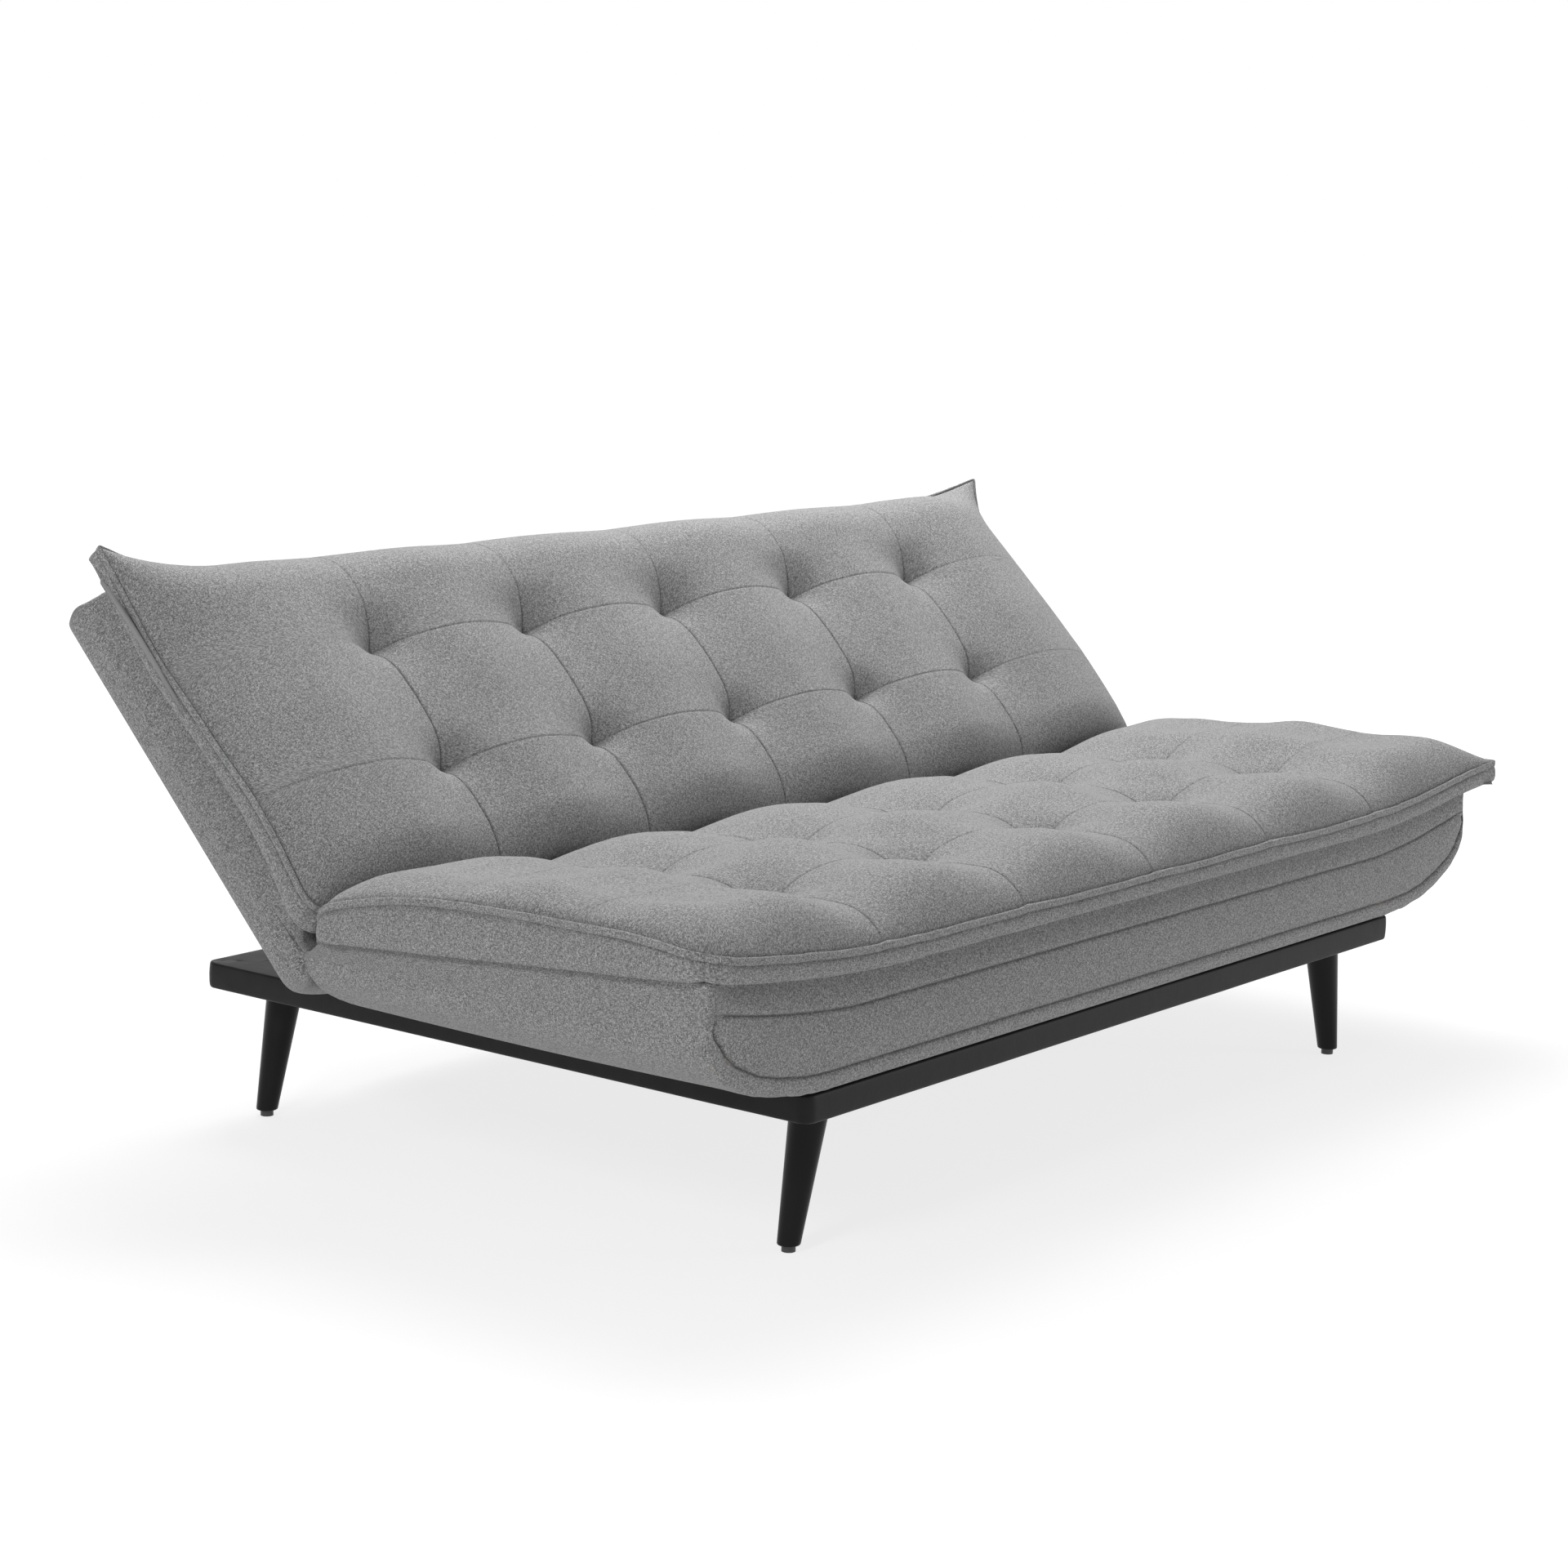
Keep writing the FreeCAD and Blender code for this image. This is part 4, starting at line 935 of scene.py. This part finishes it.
def back_box(material):
    """The upholstered box behind the back pad: one section swept along X, with closed ends."""
    shell = Shell()
    section = back_section()
    count = len(section)
    around = steps(np.vstack((section, section[:1])))
    bilge, corner, knee, tuck_depth, slot_floor = 2.0, 6.0, 24.0, 24.0, 47.0
    xs = list(BOX_FLAT + (BOX_END - corner - BOX_FLAT) * np.sin(np.linspace(0.0, math.pi / 2, 26)))
    inside = list(np.arange(0.0, 601.0, 60.0)) + [640, 660, 668.5, 670, 690, 708, 710, 711.5]
    xs = sorted(set(inside + [value for value in xs if not 655 < value < 725]))
    insets = [0.0] * len(xs)
    for angle in np.linspace(0.0, math.pi / 2, 8)[1:]:
        xs.append(BOX_END - corner + corner * math.sin(angle))
        insets.append(corner * (1 - math.cos(angle)))
    xs, insets = np.array(xs), np.array(insets)
    xs = np.concatenate((-xs[:0:-1], xs))
    insets = np.concatenate((insets[:0:-1], insets))
    inward = left_normals(section)
    rings = []
    for x, inset in zip(xs, insets):
        ring = section + inward * inset
        past = unit((abs(x) - BOX_FLAT) / (BOX_END - BOX_FLAT))
        lowest = BOX_BOTTOM + inset
        keel = bilge - (bilge - BOX_BOTTOM) * math.sqrt(max(1 - past ** 2, 0.0)) + inset
        # The curved end squeezes the section up from below instead of slicing it.
        low = ring[:, 1] < knee
        ring[low, 1] = knee - (knee - ring[low, 1]) * (knee - max(keel, lowest)) / (knee - lowest)
        # The lower end is cut back where the hinge plates pass.
        if 669.0 < abs(x) < 711.0:
            ring[:, 0] = np.maximum(ring[:, 0], slot_floor)
        fold = 0.8 * value_noise(16.0, around[:-1], x * 0.12, 41)
        rolled = ease((30.0 - ring[:, 0]) / 60.0) * ease((abs(x) - 720.0) / 120.0)
        ring = ring - inward * (fold * rolled)[:, None]
        tuck = tuck_depth * tucked(ring[:, 1]) * ease((abs(x) - 800.0) / 140.0)
        rings.append(np.column_stack((x - math.copysign(1.0, x) * tuck, ring)))
    # The weave is measured along the middle of the rear, so it follows the curved ends.
    rear_line = np.array([ring[30] for ring in rings])
    body = shell.tube(rings, around, steps(rear_line))
    for side, end in ((-1, 0), (1, -1)):
        previous, base = body[end], rings[end]
        previous_flat = base[:, 1:]
        middle = np.column_stack((np.clip(base[:, 1], 70.0, 500.0), np.full(count, 32.0)))
        for t in (0.03, 0.08, 0.16, 0.28, 0.42, 0.58, 0.75, 0.9):
            flat = base[:, 1:] * (1 - t) + middle * t
            bulge = 5.0 * math.sin(math.pi / 2 * min(t * 1.6, 1.0))
            gather = np.exp(-np.maximum(flat[:, 0] + 20.0, 0.0) / 55.0)
            pleat = 3.4 * np.sin(flat[:, 0] * 0.10 - flat[:, 1] * 0.16 + side) * gather * min(t * 9.0, 1.0)
            inner = tuck_depth * (tucked(base[:, 2]) - tucked(flat[:, 1]))
            ring = np.column_stack((base[:, 0] + side * (bulge + pleat - 2.0 * gather + inner), flat))
            numbers = shell.add(ring)
            strip = np.stack((previous, numbers))
            flats = np.stack((previous_flat, flat))
            shell.patch(np.hstack((strip, strip[:, :1])), np.hstack((flats, flats[:, :1])))
            previous, previous_flat = numbers, flat
        shell.cap(previous, previous_flat)
    return shell.make("back_box", place_back, material)


back_box_piece = back_box(FINISHES["grey_fabric"])
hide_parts("back_cover", "back_foam", "back_edge_roll")
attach(back_box_piece, "back")


# ---- base and legs

def rounded_rectangle(low, high, radius, count_corner, count_side):
    """Points round a rectangle with rounded corners, anticlockwise from the front right."""
    points = []
    centres = [(high[0] - radius, low[1] + radius, -90), (high[0] - radius, high[1] - radius, 0),
               (low[0] + radius, high[1] - radius, 90), (low[0] + radius, low[1] + radius, 180)]
    for number, (cx, cy, start) in enumerate(centres):
        for angle in np.linspace(math.radians(start), math.radians(start + 90), count_corner):
            points.append((cx + radius * math.cos(angle), cy + radius * math.sin(angle)))
        nx, ny, turn = centres[(number + 1) % 4]
        first = np.array(points[-1])
        next_angle = math.radians(turn)
        last = np.array((nx + radius * math.cos(next_angle), ny + radius * math.sin(next_angle)))
        for t in np.linspace(0, 1, count_side + 2)[1:-1]:
            points.append(tuple(first * (1 - t) + last * t))
    return np.array(points)


def base_skin(material):
    """The black cover drawn round the base, creased at its corners."""
    low, high = (np.array(corner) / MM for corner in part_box("base_cover"))
    outline = rounded_rectangle(low, high, 18.0, 13, 60)
    count = len(outline)
    inward = left_normals(outline)
    around = steps(np.vstack((outline, outline[:1])))
    corner = np.min([np.hypot(outline[:, 0] - cx, outline[:, 1] - cy)
                     for cx in (low[0] + 5, high[0] - 5) for cy in (low[1] + 5, high[1] - 5)], axis=0)
    top, bottom = high[2], low[2]
    profile = [(60, top + 0.3), (30, top + 0.6), (12, top + 0.6), (3.2, top + 0.5), (1.4, top - 0.1),
               (0.3, top - 1.3), (-0.2, top - 3.2), (-0.7, top - 9), (-1.0, top - 16), (-0.7, bottom + 9),
               (-0.2, bottom + 4), (0.4, bottom + 1.6), (1.6, bottom + 0.4), (4, bottom), (30, bottom),
               (54, bottom), (56, bottom + 1.5), (57, bottom + 3.2)]
    shell = Shell()
    rings = []
    for level, (inset, z) in enumerate(profile):
        crease = 0.8 * value_noise(15.0, around[:-1], level * 3.0, 51) * hump(corner, 45.0)
        slack = 0.5 * value_noise(110.0, around[:-1], level, 53)
        move = inset + (crease + slack) * (2 < level < 13)
        flat = outline + inward * np.reshape(move, (-1, 1))
        rings.append(np.column_stack((flat, np.full(count, z) + (crease + slack) * (level < 4))))
    numbers = shell.tube(rings, around, steps(np.array(profile)))
    shell.cap(numbers[0], rings[0][:, :2])
    shell.cap(numbers[-1], rings[-1][:, :2])
    return shell.make("base_skin", place_row, material)


base_piece = base_skin(FINISHES["black_leatherette"])
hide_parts("base_cover")
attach(base_piece, "base")


def turned_leg(node, material):
    """A tapered round leg that splays outwards, with its sharp edges eased."""
    low, high = (np.array(corner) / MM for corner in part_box(node))
    top_radius, foot_radius = 26.0, 15.0
    side = -1.0 if low[0] < 0 else 1.0
    inner, outer = (high[0], low[0]) if side < 0 else (low[0], high[0])
    top_x, foot_x = inner + side * top_radius, outer - side * foot_radius
    y = (low[1] + high[1]) / 2
    height = high[2] - low[2]
    profile = [(0.0, 2.0), (0.0, 0.9), (0.6, 0.25), (1.6, 0.0), (4, 0.0)]
    profile += [(height * t, 0.0) for t in np.linspace(0.06, 0.98, 14)] + [(height, 0.0)]
    shell = Shell()
    turn = np.linspace(0, 2 * math.pi, 64, endpoint=False)
    rings = []
    for up, inset in profile:
        t = up / height
        radius = foot_radius + (top_radius - foot_radius) * t - inset
        centre = foot_x + (top_x - foot_x) * t
        rings.append(np.column_stack((centre + radius * np.cos(turn), y + radius * np.sin(turn),
                                      np.full(64, low[2] + up))))
    mean_radius = 20.0
    heights = np.array([up for up, _ in profile])
    numbers = shell.tube(rings, np.append(turn, 2 * math.pi) * mean_radius, heights)
    shell.cap(numbers[0], rings[0][:, :2])
    shell.cap(numbers[-1], rings[-1][:, :2])
    leg = shell.make(node + "_turned", place_row, material)
    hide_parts(node)
    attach(leg, "base")


for end in ("front", "rear"):
    for hand in ("left", "right"):
        turned_leg(f"leg_{end}_{hand}", FINISHES["black_lacquer"])


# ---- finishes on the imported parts

PART_FINISHES = {
    "frame_wood": ("rail", "board", "blocks"),
    "webbing": ("webbing",),
    "dust_cloth": ("dust_cover",),
    "black_metal": ("bracket_left", "bracket_right", "arm_left", "arm_right"),
    "zinc_steel": ("bolts", "nuts", "screws"),
    "rubber": ("bumpers",),
    "glide_plastic": ("glide",),
}
for name, node in frame["nodes"].items():
    plain = "foam" if "foam" in name else "grey_fabric"
    fitting = (finish for finish, words in PART_FINISHES.items() if any(word in name for word in words))
    node.data.materials.clear()
    node.data.materials.append(FINISHES[next(fitting, plain)])


# ---- studio

def studio_floor():
    """Pale paper under and behind the sofa, glowing with painted light."""
    nodes = Nodes("floor")
    vector = nodes.object_vector()
    faint = nodes.noise(vector, 3.0, 2.0)
    nodes.feed(Base_Color=nodes.ramp(faint, [(0.2, grey(0.155)), (0.8, grey(0.165))]))
    material = nodes.set(Roughness=0.95, Specular_IOR_Level=0.0)
    nodes.shader.inputs["Emission Color"].default_value = (1, 1, 1, 1)
    # The floor glows as painted light, which keeps the shade under the sofa pale; the glow is dimmer near the
    # sofa, as painted shade round it, and brighter away from it, so the paper sweep has no visible horizon.
    distance = nodes.node("ShaderNodeVectorMath", operation="LENGTH")
    nodes.join(vector, distance.inputs[0])
    glow = nodes.node("ShaderNodeMapRange", interpolation_type="SMOOTHSTEP")
    for socket, value in (("From Min", 0.9), ("From Max", 2.6), ("To Min", 0.79), ("To Max", 0.99)):
        glow.inputs[socket].default_value = value
    nodes.join(distance.outputs["Value"], glow.inputs["Value"])
    nodes.feed(Emission_Strength=glow.outputs[0])
    mesh = bpy.data.meshes.new("floor")
    mesh.from_pydata([(-60, -60, 0), (60, -60, 0), (60, 60, 0), (-60, 60, 0)], [], [(0, 1, 2, 3)])
    mesh.materials.append(material)
    floor = bpy.data.objects.new("floor", mesh)
    bpy.context.scene.collection.objects.link(floor)


def area_light(name, position, target, size, power, size_y=None):
    light = bpy.data.lights.new(name, "AREA")
    light.shape = "RECTANGLE"
    light.size, light.size_y = size, size_y or size
    light.energy = power
    lamp = bpy.data.objects.new(name, light)
    lamp.location = position
    lamp.rotation_euler = (Vector(target) - Vector(position)).to_track_quat("-Z", "Y").to_euler()
    bpy.context.scene.collection.objects.link(lamp)


studio_floor()
area_light("overhead", (1.0, 1.2, 3.4), (0.1, 0.1, 0.3), 2.4, 215.0, 2.0)
area_light("left_fill", (-4.0, -0.8, 2.5), (-0.9, 0.1, 0.4), 0.8, 66.0)
area_light("front_fill", (2.5, -3.5, 1.2), (0.2, -0.5, 0.3), 1.0, 26.0)

world = bpy.data.worlds.new("studio")
world.use_nodes = True
sky = world.node_tree
direction = sky.nodes.new("ShaderNodeTexCoord").outputs["Generated"]
height = sky.nodes.new("ShaderNodeSeparateXYZ")
sky.links.new(direction, height.inputs[0])
fade = sky.nodes.new("ShaderNodeValToRGB")
fade.color_ramp.elements[0].position, fade.color_ramp.elements[0].color = 0.12, (1, 1, 1, 1)
fade.color_ramp.elements[1].position, fade.color_ramp.elements[1].color = 0.42, (0.30, 0.30, 0.30, 1)
sky.links.new(height.outputs[2], fade.inputs[0])
sky.links.new(fade.outputs[0], sky.nodes["Background"].inputs[0])
bpy.context.scene.world = world
bpy.context.scene.view_settings.view_transform = "Standard"


def camera(azimuth, elevation, roll, position, lens):
    """The scene's camera, from angles in degrees, a place in metres and a lens in millimetres."""
    azimuth, elevation, roll = (math.radians(angle) for angle in (azimuth, elevation, roll))
    back = Vector((math.sin(azimuth) * math.cos(elevation), -math.cos(azimuth) * math.cos(elevation),
                   math.sin(elevation)))
    right = (-back).cross(Vector((0, 0, 1))).normalized()
    up = right.cross(-back)
    level_right = right * math.cos(roll) + up * math.sin(roll)
    level_up = up * math.cos(roll) - right * math.sin(roll)
    data = bpy.data.cameras.new("camera")
    data.lens, data.sensor_width = lens, 36.0
    data.clip_end = 300.0
    made = bpy.data.objects.new("camera", data)
    turn = Matrix((level_right, level_up, back)).transposed()
    made.matrix_world = Matrix.Translation(position) @ turn.to_4x4()
    bpy.context.scene.collection.objects.link(made)
    bpy.context.scene.camera = made


camera(-52.206, 9.909, 1.3825, Vector((-3.9574, -3.0048, 1.3099)), 79.73)
